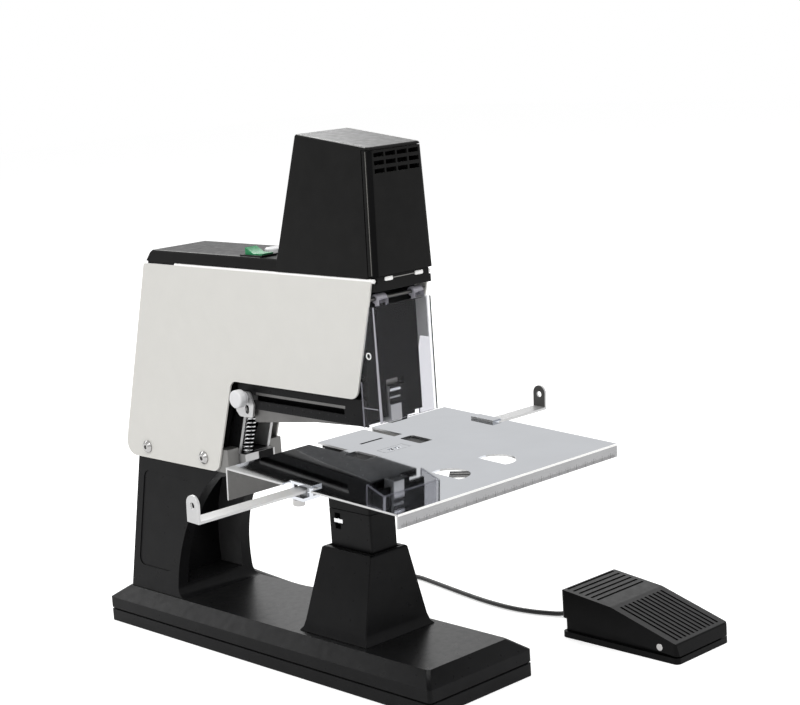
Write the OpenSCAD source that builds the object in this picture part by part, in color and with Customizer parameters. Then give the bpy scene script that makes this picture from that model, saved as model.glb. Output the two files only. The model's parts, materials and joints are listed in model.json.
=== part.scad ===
// Electric saddle stapler with a foot pedal on a lead.
// Millimetres. Origin on the floor under the middle of the base, +Z up, the user's side toward -Y.

/* [Base] */
// Length of the base, front to back
base_l = 400; // [380:1:440]
// Width of the base
base_w = 113; // [104:1:124]
// Corner radius of the base in plan
base_r = 3; // [2.5:0.5:10]
// Height of the floor tray
tray_h = 10.5; // [8:0.5:14]
// Height of the dark joint between tray and shell
joint_h = 1.5; // [1:0.1:2.5]
// Inset of that joint
joint_in = 2; // [1:0.1:3]
// Height of the shell's upright side
side_h = 9.6; // [7:0.1:14]
// Height of the shell's sloped shoulder
slope_h = 9.7; // [7:0.1:14]
// Inset of the shoulder
slope_in = 13; // [8:0.5:14]
// Wall of the base shell
shell_wall = 4; // [3:0.5:5]
// Diameter of a rubber foot
foot_d = 22; // [16:1:28]
// Thickness of a rubber foot
foot_t = 4; // [3:0.5:6]

/* [Column] */
// Width of the column at its foot
col_foot_w = 85; // [78:1:86]
// Width of the column at its top
col_top_w = 60; // [56:1:61]
// Height of the column above the base
col_h = 116.3; // [112:0.1:124]
// Place of the column's rear foot edge behind the middle of the base
col_rear = 184; // [181:0.5:186]
// Forward lean of the rear face over the column's height
col_lean = 10.5; // [6:0.5:12]
// Place of the column's front foot edge
col_front = 118; // [112:0.5:122]
// Radius of the throat's arc
throat_r = 132; // [126:1:138]
// Height of the arc's centre above the base
throat_up = 8.7; // [6:0.1:12]
// Thickness of the column's side walls
col_wall = 10.5; // [8:0.5:13]
// Depth of the front pocket behind the arc
pocket_d = 30; // [20:1:33]
// Height of the pocket's floor above the base
pocket_up = 10; // [8:0.5:14]
// Thickness of the column's roof
roof_t = 8; // [6:0.5:12]
// Radius of the toe fillet
toe_r = 9; // [6:0.5:10]
// Depth of the shallow field on each side
field_d = 0.8; // [0.4:0.1:1.2]
// Place of the upright panel for the connectors on the rear face
port_y = 175; // [174:0.5:177]
// Height of the connectors above the base
port_up = 51; // [46:0.5:54]
// Place of the power inlet across the column
inlet_x = -13; // [-14:0.5:-10]
// Width of the power inlet's body
inlet_w = 27; // [25:0.5:28]
// Height of the power inlet's body
inlet_h = 19.6; // [18:0.2:21]
// Depth of the power inlet's body
inlet_d = 17; // [15:0.5:18]
// Place of the pedal socket across the column
socket_x = 20; // [17:0.5:21]
// Radius of the pedal socket's body
socket_r = 6; // [5:0.5:7]

/* [Pedestal and post] */
// Width of the pedestal at its top
ped_w = 41; // [38:0.5:46]
// Height of the pedestal above the base
ped_h = 68.7; // [60:0.1:76]
// Spread of each side from the pedestal's top to its foot
ped_spread = 13.5; // [8:0.5:16]
// Spread of the rear face
ped_back = 10.5; // [6:0.5:14]
// Spread of the front face
ped_fore = 3.2; // [1:0.1:6]
// Width of the flare round the pedestal's foot
flare = 4.2; // [2:0.1:5]
// Height of that flare
flare_h = 8.7; // [5:0.1:12]
// Width of the post
post_w = 27.8; // [25:0.2:30]
// Depth of the post, front to back
post_d = 48; // [44:0.5:50]
// Place of the post's middle
post_y = -78; // [-80:0.5:-76]
// Depth of the post in the pedestal
post_sink = 6; // [4:0.5:10]
// Gap round the post in the pedestal
post_gap = 1.2; // [0.6:0.1:2]
// Height of the seam between post and anvil head above the pedestal
seam_up = 31; // [26:0.5:36]

/* [Table] */
// Width of the table
table_w = 236; // [220:1:260]
// Depth of the table
table_l = 185; // [182:1:195]
// Thickness of the sheet
sheet = 1.5; // [1.2:0.1:2]
// Slope of the table
table_tilt = 2.75; // [2:0.25:3.5]
// Height of the table's top above the base, over the post
table_up = 155; // [152:0.5:157]
// Distance from the table's front edge to the post's middle
table_ahead = 166.7; // [160:0.1:172]
// Height of the front lip
lip_h = 10.6; // [8:0.1:14]
// Height of the rear flange
flange_h = 25.5; // [18:0.5:30]
// Thickness of the bracket under the table
bracket_t = 3; // [2:0.5:4]
// Half width of the bracket
bracket_x = 40; // [38:0.5:42]
// Length of the clincher plate
clinch_w = 26; // [22:0.5:28]
// Width of the clincher plate
clinch_d = 10; // [8:0.5:12]
// Width of a side guide strip
strip_w = 13; // [10:0.5:16]
// Thickness of a side guide strip
strip_t = 2; // [1.5:0.1:2.5]
// Place of the left strip along the table
strip_left = 104.7; // [100:0.5:110]
// Place of the right strip along the table
strip_right = 129; // [124:0.5:134]
// Reach of the left guide from the middle
reach_left = 213; // [190:1:220]
// Reach of the right guide from the middle
reach_right = 176; // [160:1:190]
// Length of strip left under the table
strip_in = 29; // [24:0.5:32]
// Height of a guide ear above the table
ear_h = 16; // [12:0.5:20]
// Half length of the notch at each table edge
notch_d = 15.5; // [13:0.5:18]
// Depth of that notch
notch_x = 10; // [8:0.5:12]

/* [Head] */
// Width over the side panels
head_w = 61.4; // [61:0.1:66]
// Thickness of a side panel
panel_t = 1.5; // [1:0.1:2]
// Height of a side panel
panel_h = 172; // [168:0.5:180]
// Height from the panel's bottom to its notch
notch_up = 80; // [76:0.5:84]
// Lower rear corner of the panel
panel_rear = 192; // [188:0.5:196]
// Upper rear corner of the panel
panel_rear_top = 140; // [136:0.5:144]
// Lower front corner of the panel's foot
panel_foot_y = 62.4; // [58:0.2:66]
// Rear end of the notch
notch_rear = 35.4; // [30:0.2:38]
// Lower front corner of the panel
panel_nose = -115.3; // [-118:0.1:-112]
// Upper front corner of the panel
panel_front = -140.2; // [-142:0.1:-139]
// Radius of the bead along the panel's top
bead_r = 1.6; // [1.4:0.1:2.2]
// Radius of a panel screw's shank
screw_r = 2.5; // [2:0.1:3]
// Radius of a panel screw's head
screw_head_r = 5.5; // [4.5:0.1:6.5]
// Place of the rear panel screws
screw_rear = 158; // [154:0.5:162]
// Place of the front panel screws
screw_front = 80; // [76:0.5:84]
// Height of the panel screws above the panel's bottom
screw_up = 10; // [8:0.5:13]
// Outer half width of the frame
frame_x = 21.5; // [20:0.1:22]
// Thickness of a frame plate
frame_t = 3; // [2:0.1:3.2]
// Outer half width of the spring bracket
ear_x = 17; // [16.5:0.1:17.4]
// Height of the frame's foot bars
bar_h = 20; // [18:0.1:24]

/* [Cover] */
// Height of the rear deck above the panels
deck_up = 11.5; // [9:0.5:14]
// Height of the tower's front edge above the panels
tower_h = 99.4; // [90:0.1:108]
// Rise of the tower's roof from front to rear
tower_rise = 9.4; // [4:0.1:12]
// Front of the tower at its foot
tower_front = -145.8; // [-147:0.1:-145]
// Backward lean of the tower's front
tower_lean = 1.7; // [0.5:0.1:3]
// Rear of the tower at the deck
tower_rear = -34; // [-38:0.5:-30]
// Rear of the tower at its roof
tower_back = -62; // [-66:0.1:-59]
// Half width of the tower's foot
tower_x = 30.6; // [30:0.1:31]
// Half width of the tower's roof
tower_top_x = 28; // [26:0.1:29]
// Wall of the cover
cover_t = 2.5; // [2:0.1:3]
// Radius of the tower's edges
edge_r = 2.2; // [1.8:0.1:3]
// Depth of the vented front cover
cap_d = 8; // [6:0.1:9]
// Radius of the front cover's upright corners
cap_r = 4; // [3:0.1:5]
// Groove between the front cover and the tower
groove = 0.9; // [0.6:0.1:1.4]
// Rows of vents
vent_rows = 3; // [2:1:4]
// Vents in a row
vent_cols = 4; // [3:1:5]
// Height of a vent
vent_h = 3.4; // [2.5:0.1:4]
// Pitch of the rows of vents
vent_pitch = 6; // [5:0.1:7]
// Place of the rocker switch across the deck
rocker_x = -20; // [-20.5:0.1:-19]
// Place of the rocker switch along the deck
rocker_y = 0.5; // [-6:0.5:8]
// Half width of the rocker
rocker_w = 6; // [5:0.1:6.2]
// Half length of the rocker
rocker_l = 10.5; // [9:0.1:11]
// Tilt of the rocker at rest
rocker_tilt = 12; // [8:1:13]
// Radius of the force dial
dial_r = 7; // [5.5:0.1:7.2]
// Place of the force dial across the deck
dial_x = -3.5; // [-3.5:0.1:2]
// Place of the force dial along the deck
dial_y = 1; // [-4:0.5:6]

/* [Guard] */
// Thickness of the clear guard
guard_t = 2; // [1.5:0.1:2.5]
// Outer half width of the guard
guard_x = 30.4; // [30.2:0.1:31]
// Front of the guard
guard_front = -140; // [-141:0.1:-139]
// Height of the guard's front lower edge above the panel's bottom
guard_low = 64; // [61:0.5:68]
// Radius of the guard's rod
rod_r = 1.5; // [1.2:0.1:1.8]
// Place of the guard's rod
rod_y = -135.5; // [-136:0.1:-135]
// Height of the guard's rod below the panel's top
rod_down = 14; // [13:0.5:16]
// Radius of the guard's lugs
lug_r = 3.6; // [3:0.1:3.8]

/* [Arm] */
// Place of the arm's pivot
pivot_y = 140; // [136:0.5:142]
// Height of the pivot above the panel's bottom
pivot_up = 78; // [75:0.5:80]
// Radius of the pivot shaft
shaft_r = 5; // [4:0.1:6]
// Half width of the arm
arm_x = 17.5; // [16.5:0.1:17.7]
// Height of the arm
arm_h = 27; // [25:0.5:28]
// Wall of the arm
arm_t = 2.5; // [2:0.1:3]
// Front end of the arm
arm_front = -118; // [-118.4:0.1:-117.5]
// Height of the scale plate
scale_h = 21; // [20:0.1:23]
// Thickness of the scale plate
scale_t = 1.6; // [1.2:0.1:2]
// Distance of the scale plate from the middle
scale_x = 24.4; // [24:0.1:25]
// Rear end of the scale plate
scale_rear = 33; // [30:0.5:34]
// Height of the gauge's slot
slot_h = 4.6; // [4.4:0.1:5]
// Line of the staple
staple_y = -121.7; // [-122:0.1:-121.5]
// Half width of the nose
nose_x = 8.6; // [7.6:0.1:9]
// Reach of the nose below the arm
nose_down = 6; // [4:0.5:7]
// Radius of the solenoid's plunger
plunger_r = 6; // [5:0.1:7]
// Line of the solenoid
plunger_y = -100; // [-102:0.5:-98]
// Outer radius of the solenoid's coil
coil_or = 17; // [15:0.5:18]
// Length of the solenoid's coil
coil_h = 61; // [55:1:63]
// Mean radius of the return spring
spring_r = 4.2; // [3.9:0.1:4.6]
// Wire of the return spring
spring_wire = 1.3; // [1:0.1:1.5]
// Turns of the return spring
spring_turns = 9; // [7:1:10]
// Place of the return spring across the head
spring_x = -8; // [-9:0.5:-6]
// Place of the return spring along the head
spring_y = 50; // [48:0.5:52]
// Forward lean of the return spring
spring_lean = 9; // [7:0.5:10]
// Radius of the gauge's stud
stud_r = 2; // [1.6:0.1:2.1]
// Place of the gauge's stud at rest
stud_y = 21.3; // [19:0.1:24]
// Radius of the gauge's knob
knob_r = 7.5; // [6:0.1:8]
// Length of the gauge's knob
knob_l = 11; // [8:0.5:13]

/* [Pedal] */
// Width of the pedal
pedal_w = 67; // [62:1:72]
// Length of the pedal
pedal_l = 119; // [115:1:126]
// Place of the pedal's middle across the floor
pedal_x = 171.5; // [168:0.5:176]
// Place of the pedal's rear end
pedal_y = -160; // [-162:0.5:-158]
// Height of the lever at its rear
lever_h = 41; // [38:0.5:43]
// Height of the lever at the knee
knee_h = 35.2; // [33:0.1:37]
// Distance of the knee from the rear end
knee_d = 53; // [48:0.5:56]
// Height of the lever's front edge
toe_h = 16.5; // [16:0.1:18]
// Wall of the lever
lever_t = 2.5; // [2:0.1:3]
// Thickness of the pedal's floor plate
floor_t = 5; // [4:0.2:5.2]
// Radius of the pedal's pin
pin_r = 3; // [2.4:0.1:3.1]
// Distance of the pin from the rear end
pin_d = 101.3; // [99:0.1:103]
// Height of the pin
pin_z = 11.5; // [11:0.1:12]
// Width of the lever's grooves
rib_w = 2.3; // [1.6:0.1:2.6]
// Depth of the lever's grooves
rib_d = 1; // [0.6:0.1:1.4]
// Pitch of the grooves down the lever's slope
flute_pitch = 5.2; // [4.8:0.1:5.4]

/* [Lead] */
// Diameter of the lead
lead_d = 4; // [3.8:0.1:4.1]
// Pitch of the coil's turns
wind_pitch = 4.5; // [4.5:0.1:4.8]
// Outer centreline radius of the coil
wind_r = 28.75; // [28.75:0.05:30]
// Centre of the coil across the floor
wind_x = 82; // [82:0.5:86]
// Centre of the coil along the floor
wind_y = 238; // [238:0.5:242]
// Height of the coil's lower layer
wind_z = 3.2; // [3.2:0.1:3.5]
// Rise from the lower layer to the upper
wind_rise = 4.6; // [4.6:0.1:5]
// Width of the tie round the coil
tie_w = 6; // [4:0.5:8]
// Thickness of the tie
tie_t = 0.9; // [0.7:0.1:0.9]

/* [Fits] */
// Radial clearance of running bores
run_fit = 0.06; // [0.03:0.01:0.1]
// Radial clearance of fixed pins and screws
pin_fit = 0.03; // [0.02:0.01:0.06]
// Gap between pieces that move past each other
slip = 0.5; // [0.4:0.05:0.6]
// Gap between the column's top and the panels
seat_gap = 0.4; // [0.3:0.1:0.6]

/* [Hidden] */
$fn = 48;

black = [0.07, 0.07, 0.075];
dark = [0.16, 0.16, 0.17];
steel = [0.78, 0.79, 0.8];
white = [0.86, 0.85, 0.82];
brass = [0.8, 0.6, 0.3];
clear = [0.85, 0.9, 0.92, 0.4];

shell_z = tray_h + joint_h;
base_top = shell_z + side_h + slope_h;
col_top = base_top + col_h;
col_slant = atan((col_foot_w - col_top_w) / 2 / col_h);
throat_y = col_front - throat_r;
throat_z = base_top + throat_up;
port_z = base_top + port_up;
ped_z = base_top + ped_h;
ped_d = post_d + 2 * (ped_w - post_w) / 2 - 4;
seam_z = ped_z + seam_up;
head_z = col_top + seat_gap;
notch_z = head_z + notch_up;
panel_z = head_z + panel_h;
inner_x = head_w / 2 - panel_t;
screw_z = head_z + screw_up;
deck_z = panel_z + deck_up;
skirt_z = panel_z + bead_r + 0.6;
tower_tilt = atan(tower_lean / tower_h);
cap_top = tower_h - 1.4 - edge_r - 0.6;
pivot_z = head_z + pivot_up;
arm_z = pivot_z - 13;
arm_top = arm_z + arm_h;
slot_z = arm_z + 2.6;
scale_top = arm_z + 14;
scale_z = scale_top - scale_h;
nose_z = arm_z - nose_down;
rod_z = panel_z - rod_down;
cup_y = spring_y - spring_lean;
beam_z = arm_top + 4;
beam_top = panel_z - 2;
frame_front = arm_front + 1;
bridge_z = col_top + 14.4;
cup_z = arm_z - 18;
rocker_z = deck_z - 2.5;
plate_y = staple_y - 2.3;
guard_rear = panel_nose - 5.2;
clinch_at = table_ahead + (staple_y + 1.8 - post_y) / cos(table_tilt);
pedal_left = pedal_x - pedal_w / 2;
pedal_end = pedal_y - pedal_l;
pin_y = pedal_y - pin_d;
gland_z = 8;
gland_y = pedal_y + 10;
gland_x = pedal_x + 7.5;
lead_r = lead_d / 2;
plug_y = port_y + 38.5;

function foot_line(z, g) = panel_foot_y - (z - head_z) * (panel_foot_y - notch_rear) / notch_up + g;
function unit(v) = v / norm(v);
function tangents(p) = [for (i = [0:len(p) - 1])
  unit(p[min(i + 1, len(p) - 1)] - p[max(i - 1, 0)])];
function level(n, t) = unit(n - (n * t) * t);
function sides(t, n0) = [for (i = 0, n = level(n0, t[0]); i < len(t);
  i = i + 1, n = i < len(t) ? level(n, t[i]) : n) n];
function spline_at(a, b, c, d, s) = 0.5 * ((2 * b) + (c - a) * s
  + (2 * a - 5 * b + 4 * c - d) * s * s + (3 * b - a - 3 * c + d) * s * s * s);
function spline(p, k) = concat([for (i = [0:len(p) - 2]) for (j = [0:k - 1])
  spline_at(p[max(i - 1, 0)], p[i], p[i + 1], p[min(i + 2, len(p) - 1)], j / k)],
  [p[len(p) - 1]]);
function turn_gap(p, skip, d) = min([for (i = [0:len(p) - 1]) for (j = [i + skip:1:len(p) - 1])
  norm(p[i] - p[j])]) - d;
function corner(a, b, c, r, n) = let (u = unit(a - b), v = unit(c - b), h = acos(u * v) / 2,
  m = b + unit(u + v) * r / sin(h), s = b + u * r / tan(h), e = b + v * r / tan(h),
  a0 = atan2(s[1] - m[1], s[0] - m[0]), a1 = atan2(e[1] - m[1], e[0] - m[0]),
  w = a1 - a0 > 180 ? a1 - a0 - 360 : a1 - a0 < -180 ? a1 - a0 + 360 : a1 - a0)
  [for (i = [0:n]) m + r * [cos(a0 + w * i / n), sin(a0 + w * i / n)]];
function rounded(p, r, n = 6) = [for (i = [0:len(p) - 1]) each r[i] > 0
  ? corner(p[(i + len(p) - 1) % len(p)], p[i], p[(i + 1) % len(p)], r[i], n) : [p[i]]];

// Tube along a list of points, with flat ends
module tube(p, r, n0, k = 8) {
  t = tangents(p);
  n = sides(t, n0);
  m = len(p);
  pts = [for (i = [0:m - 1]) let (b = cross(t[i], n[i])) for (j = [0:k - 1])
    p[i] + r * (cos(360 * j / k) * n[i] + sin(360 * j / k) * b)];
  walls = [for (i = [0:m - 2]) for (j = [0:k - 1]) let (q = (j + 1) % k) each [
    [i * k + j, (i + 1) * k + j, (i + 1) * k + q], [i * k + j, (i + 1) * k + q, i * k + q]]];
  caps = [for (j = [1:k - 2]) each [[0, j, j + 1],
    [(m - 1) * k, (m - 1) * k + j + 1, (m - 1) * k + j]]];
  polyhedron(pts, concat(walls, caps));
}

// Solid between two rectangles, each given as [x0, x1, y0, y1] with its height
module frustum(a, za, b, zb) {
  polyhedron([[a[0], a[2], za], [a[1], a[2], za], [a[1], a[3], za], [a[0], a[3], za],
    [b[0], b[2], zb], [b[1], b[2], zb], [b[1], b[3], zb], [b[0], b[3], zb]],
    [[0, 1, 2, 3], [7, 6, 5, 4], [1, 0, 4, 5], [2, 1, 5, 6], [3, 2, 6, 7], [0, 3, 7, 4]]);
}

// Box from its two corners
module box(a, b) {
  translate(a) cube(b - a);
}

// Rounded rectangle about the origin
module rrect(w, l, r) {
  square([w - 2 * r, l], center = true);
  square([w, l - 2 * r], center = true);
  for (x = [-1, 1], y = [-1, 1]) translate([x * (w / 2 - r), y * (l / 2 - r)]) circle(r);
}

// Profile in Y and Z, drawn out along X
module along_x(x0, x1) {
  translate([x0, 0, 0]) rotate([90, 0, 90]) linear_extrude(x1 - x0) children();
}

// Profile in X and Z, drawn out along Y
module along_y(y0, y1) {
  translate([0, y1, 0]) rotate([90, 0, 0]) linear_extrude(y1 - y0) children();
}

// Round bar along X
module rod_x(x0, x1, y, z, r) {
  translate([x0, y, z]) rotate([0, 90, 0]) cylinder(h = x1 - x0, r = r);
}

// Round bar along Y
module rod_y(y0, y1, x, z, r) {
  translate([x, y0, z]) rotate([-90, 0, 0]) cylinder(h = y1 - y0, r = r);
}

// Table's own frame: X across, Y from the front edge, Z up from the top face
module in_table() {
  translate([0, post_y, base_top + table_up]) rotate([table_tilt, 0, 0])
    translate([0, -table_ahead, 0]) children();
}

module feet_at(g) {
  for (x = [-1, 1], y = [-1, 1])
    translate([x * (base_w / 2 - 20), y * (base_l / 2 - 24), -1 + (1 - g)])
      cylinder(h = foot_t + g, d = foot_d + 0.4 * g);
}

module base_tray() color(black) {
  difference() {
    union() {
      linear_extrude(tray_h) rrect(base_w, base_l, base_r);
      linear_extrude(shell_z) rrect(base_w - 2 * joint_in, base_l - 2 * joint_in, base_r - joint_in);
    }
    feet_at(1);
  }
}

module base_feet() color(dark) {
  feet_at(0);
}

module shell_blank(i, z0, z1) {
  hull() {
    translate([0, 0, z0]) linear_extrude(shell_z + side_h - z0 - i * 0.4)
      rrect(base_w - 2 * i, base_l - 2 * i, base_r - i / 2);
    translate([0, 0, z1 - 0.1]) linear_extrude(0.1)
      rrect(base_w - 2 * slope_in - 2 * i, base_l - 2 * slope_in - 2 * i, base_r - i / 2);
  }
}

module base_shell() color(black) {
  difference() {
    shell_blank(0, shell_z, base_top);
    translate([0, 0, -1]) shell_blank(shell_wall, shell_z, base_top - shell_wall + 1);
  }
}

module throat_cut(r) {
  along_x(-60, 60) translate([throat_y, throat_z]) circle(r, $fn = 180);
}

module column_taper(i) {
  a = col_foot_w / 2 - i;
  b = col_top_w / 2 - i;
  along_y(0, 220) polygon([[-a, base_top], [a, base_top], [b, col_top], [-b, col_top]]);
}

module column() color(black) {
  difference() {
    intersection() {
      column_taper(0);
      union() {
        difference() {
          along_x(-60, 60) polygon([[40, base_top], [col_rear, base_top],
            [col_rear - col_lean, col_top], [40, col_top]]);
          throat_cut(throat_r);
        }
        along_x(-60, 60) difference() {
          translate([col_front - toe_r, base_top]) square([toe_r + 1.5, toe_r]);
          translate([col_front - toe_r, base_top + toe_r]) circle(toe_r);
        }
        box([-col_top_w / 2 + 2, port_y - inlet_d - 5, port_z - 18],
          [col_top_w / 2 - 2, port_y, port_z + 18]);
      }
    }
    intersection() {
      column_taper(col_wall);
      throat_cut(throat_r + pocket_d);
      box([-60, 0, base_top + pocket_up], [60, 200, col_top - roof_t]);
    }
    for (s = [-1, 1]) translate([s * col_foot_w / 2, 0, base_top]) rotate([0, -s * col_slant, 0])
      along_x(s > 0 ? -field_d : -2, s > 0 ? 2 : field_d)
        polygon(rounded([[127, 21], [174, 21], [166, 106], [99, 106], [119, 58]], [7, 7, 7, 7, 20]));
    box([-col_top_w / 2 + 2, port_y, port_z - 18], [col_top_w / 2 - 2, 200, port_z + 18]);
    box([inlet_x - inlet_w / 2 - 0.3, port_y - inlet_d - 0.3, port_z - inlet_h / 2 - 0.3],
      [inlet_x + inlet_w / 2 + 0.3, port_y + 1, port_z + inlet_h / 2 + 0.3]);
    rod_y(port_y - 12.3, port_y + 1, socket_x, port_z, socket_r + 0.05);
  }
}

module power_inlet() color(dark) {
  difference() {
    union() {
      box([inlet_x - inlet_w / 2, port_y - inlet_d, port_z - inlet_h / 2],
        [inlet_x + inlet_w / 2, port_y + 1, port_z + inlet_h / 2]);
      box([inlet_x - inlet_w / 2 - 1.4, port_y, port_z - inlet_h / 2 - 2],
        [inlet_x + inlet_w / 2 + 1.4, port_y + 2, port_z + inlet_h / 2 + 2]);
    }
    box([inlet_x - 11, port_y - inlet_d + 2, port_z - 7], [inlet_x + 11, port_y + 3, port_z + 7]);
  }
  for (x = [-7, 0, 7])
    box([inlet_x + x - 1, port_y - inlet_d + 1, port_z - 2 + (x == 0 ? 2 : -1)],
      [inlet_x + x + 1, port_y - 6, port_z + 2 + (x == 0 ? 2 : -1)]);
}

module pedal_socket() color(dark) {
  difference() {
    union() {
      rod_y(port_y - 12, port_y + 1, socket_x, port_z, socket_r);
      rod_y(port_y, port_y + 2.5, socket_x, port_z, socket_r + 1.5);
    }
    rod_y(port_y - 10, port_y + 3, socket_x, port_z, 1.9 + pin_fit);
  }
}

module pedestal() color(black) {
  x = ped_w / 2;
  y = ped_d / 2;
  f = flare;
  rects = [[-x - ped_spread - f, x + ped_spread + f, post_y - y - ped_fore - f,
      post_y + y + ped_back + f],
    [-x - ped_spread - f * 0.4, x + ped_spread + f * 0.4, post_y - y - ped_fore - f * 0.4,
      post_y + y + ped_back + f * 0.4],
    [-x - ped_spread, x + ped_spread, post_y - y - ped_fore, post_y + y + ped_back],
    [-x, x, post_y - y, post_y + y],
    [-x + 1.2, x - 1.2, post_y - y + 1.2, post_y + y - 1.2]];
  heights = [base_top, base_top + flare_h * 0.35, base_top + flare_h, ped_z - 1.2, ped_z];
  difference() {
    union() for (i = [0:3]) frustum(rects[i], heights[i], rects[i + 1], heights[i + 1]);
    box([-post_w / 2 - post_gap, post_y - post_d / 2 - post_gap, ped_z - post_sink],
      [post_w / 2 + post_gap, post_y + post_d / 2 + post_gap, ped_z + 1]);
  }
}

module post_block(z0, z1) {
  translate([0, post_y, z0]) linear_extrude(z1 - z0) rrect(post_w, post_d, 1.5);
}

module anvil_post() color(black) {
  difference() {
    post_block(ped_z - post_sink, seam_z - 0.4);
    translate([-post_w / 2, post_y + 14, seam_z - 10]) {
      box([-1, -3.2, -6.5], [5, 3.2, 6.5]);
      box([-1, -6, -2.2], [5, 6, 2.2]);
    }
    rod_x(-post_w / 2, 0, post_y + 14, seam_z - 10, 2 + pin_fit);
  }
}

module post_screw() color(steel) {
  rod_x(-post_w / 2 + 1, -1, post_y + 14, seam_z - 10, 2);
  translate([-post_w / 2, post_y + 14, seam_z - 10]) box([0.6, -5, -1.6], [4, 5, 1.6]);
}

module anvil_head() color(black) {
  difference() {
    union() {
      post_block(seam_z, base_top + table_up + 20);
      translate([0, post_y, seam_z - 0.4]) linear_extrude(1) rrect(post_w - 2, post_d - 2, 1);
      in_table() box([-10, clinch_at - 9, -17], [10, table_ahead, -1]);
    }
    in_table() box([-60, -20, -sheet - bracket_t], [60, 260, 60]);
  }
}

module clincher() color(steel) {
  in_table() difference() {
    box([-clinch_w / 2, clinch_at - clinch_d / 2, -sheet - bracket_t],
      [clinch_w / 2, clinch_at + clinch_d / 2, 0]);
    for (x = [-3.4, 3.4]) translate([x, clinch_at - 2, 4.4]) rotate([-90, 0, 0]) cylinder(h = 4, r = 5);
  }
}

module table_bracket() color(black) {
  in_table() difference() {
    union() {
      box([-bracket_x, clinch_at - 16, -sheet - bracket_t], [bracket_x, 147, -sheet]);
      box([-23, clinch_at, -sheet - bracket_t], [23, table_l - 3, -sheet]);
    }
    box([-clinch_w / 2 - 0.1, clinch_at - clinch_d / 2 - 0.1, -10],
      [clinch_w / 2 + 0.1, clinch_at + clinch_d / 2 + 0.1, 1]);
  }
}

module dee(x) {
  intersection() {
    translate([x, 41.5]) circle(15);
    translate([x - 5.5, 20]) square([30, 50]);
  }
}

module table() color(steel) {
  w = table_w / 2;
  in_table() difference() {
    union() {
      box([-w, 0, -sheet], [w, table_l, 0]);
      box([-w, 0, -lip_h], [w, sheet, -sheet / 2]);
      for (s = [-1, 1]) box([s > 0 ? 34 : -w, table_l - sheet, -flange_h],
        [s > 0 ? w : -34, table_l, -sheet / 2]);
    }
    box([-clinch_w / 2 - 0.3, clinch_at - clinch_d / 2 - 0.3, -5],
      [clinch_w / 2 + 0.3, clinch_at + clinch_d / 2 + 0.3, 1]);
    box([-8, 152.8, -5], [16, 155.3, 1]);
    for (s = [-1, 1]) {
      translate([s * 30, 130.5, -5]) linear_extrude(10) rrect(14, 23, 2);
      box([s > 0 ? 25 : -34, 150, -40], [s > 0 ? 34 : -25, table_l + 1, 1]);
    }
    translate([0, 0, -5]) linear_extrude(10) {
      dee(26.5);
      dee(-23.5);
    }
    box([-w - 1, strip_left - notch_d, -5], [-w + notch_x, strip_left + notch_d, 1]);
    box([w - notch_x, strip_right - notch_d, -5], [w + 1, strip_right + notch_d, 1]);
  }
}

module clamp(x, d) {
  a = strip_w / 2 + slip;
  translate([0, d, 0]) difference() {
    union() {
      box([x + 2, -12, 0], [x + 12, 12, 2]);
      for (y = [-a - 2.5, a]) box([x + 2, y, -9], [x + 5.5, y + 2.5, 1]);
      box([x - 4, -a - 2.5, -9], [x + 12, a + 2.5, -6.5]);
    }
    translate([x, 0, -12]) cylinder(h = 8, r = 2 + pin_fit);
  }
}

module guide_clamps() color(steel) {
  in_table() {
    clamp(-table_w / 2 + notch_x - 8, strip_left);
    mirror([1, 0, 0]) clamp(-table_w / 2 + notch_x - 8, strip_right);
  }
}

module clamp_screw(x, d) {
  translate([x, d, -14]) {
    cylinder(h = 5, r = 4.5);
    cylinder(h = 9.4, r = 2);
  }
}

module clamp_screws() color(steel) {
  in_table() {
    clamp_screw(-table_w / 2 + notch_x - 8, strip_left);
    clamp_screw(table_w / 2 - notch_x + 8, strip_right);
  }
}

module guide(reach, d) {
  z = -sheet - slip - strip_t;
  in_table() translate([0, d, 0]) difference() {
    union() {
      box([table_w / 2 - strip_in, -strip_w / 2, z], [reach, strip_w / 2, z + strip_t]);
      box([reach - strip_t, -strip_w / 2, z], [reach, strip_w / 2, ear_h - strip_w / 2]);
      rod_x(reach - strip_t, reach, 0, ear_h - strip_w / 2, strip_w / 2);
    }
    rod_x(reach - 5, reach + 1, 0, ear_h - strip_w / 2 - 1, 2.4);
  }
}

module guide_left() color(steel) {
  mirror([1, 0, 0]) guide(reach_left, strip_left);
}

module guide_right() color(steel) {
  guide(reach_right, strip_right);
}

module frame_plate() {
  difference() {
    polygon([[foot_line(col_top, 6), col_top], [rear_line(col_top, 27), col_top],
      [rear_line(head_z + 52, 16), head_z + 52], [rear_line(panel_z - 20, 10), panel_z - 20],
      [rear_line(beam_top, 12.5), beam_top], [frame_front, beam_top], [frame_front, beam_z],
      [foot_line(beam_z, 6), beam_z]]);
    translate([pivot_y, pivot_z]) circle(shaft_r + pin_fit);
  }
}

module frame() color(dark) {
  along_x(-frame_x, -frame_x + frame_t) frame_plate();
  along_x(frame_x - frame_t, frame_x) frame_plate();
  box([-frame_x + frame_t / 2, foot_line(col_top, 7), col_top + 2],
    [frame_x - frame_t / 2, foot_line(col_top, 14), bridge_z]);
  box([-ear_x + 1, spring_y - 7, col_top + 2], [ear_x - 1, foot_line(col_top, 8), bridge_z]);
  for (s = [0, 1]) mirror([s, 0, 0]) along_x(ear_x - frame_t, ear_x)
    polygon([[foot_line(col_top + 2, -7), col_top + 2], [foot_line(col_top, 8), col_top + 2],
      [foot_line(col_top, 8), bridge_z], [foot_line(arm_z - 10, 3), arm_z - 10],
      [foot_line(arm_z - 10, -7), arm_z - 10]]);
  translate([spring_x, spring_y, bridge_z - 1]) cylinder(h = 3.2, r = spring_r - spring_wire / 2 - 0.9);
}

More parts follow.
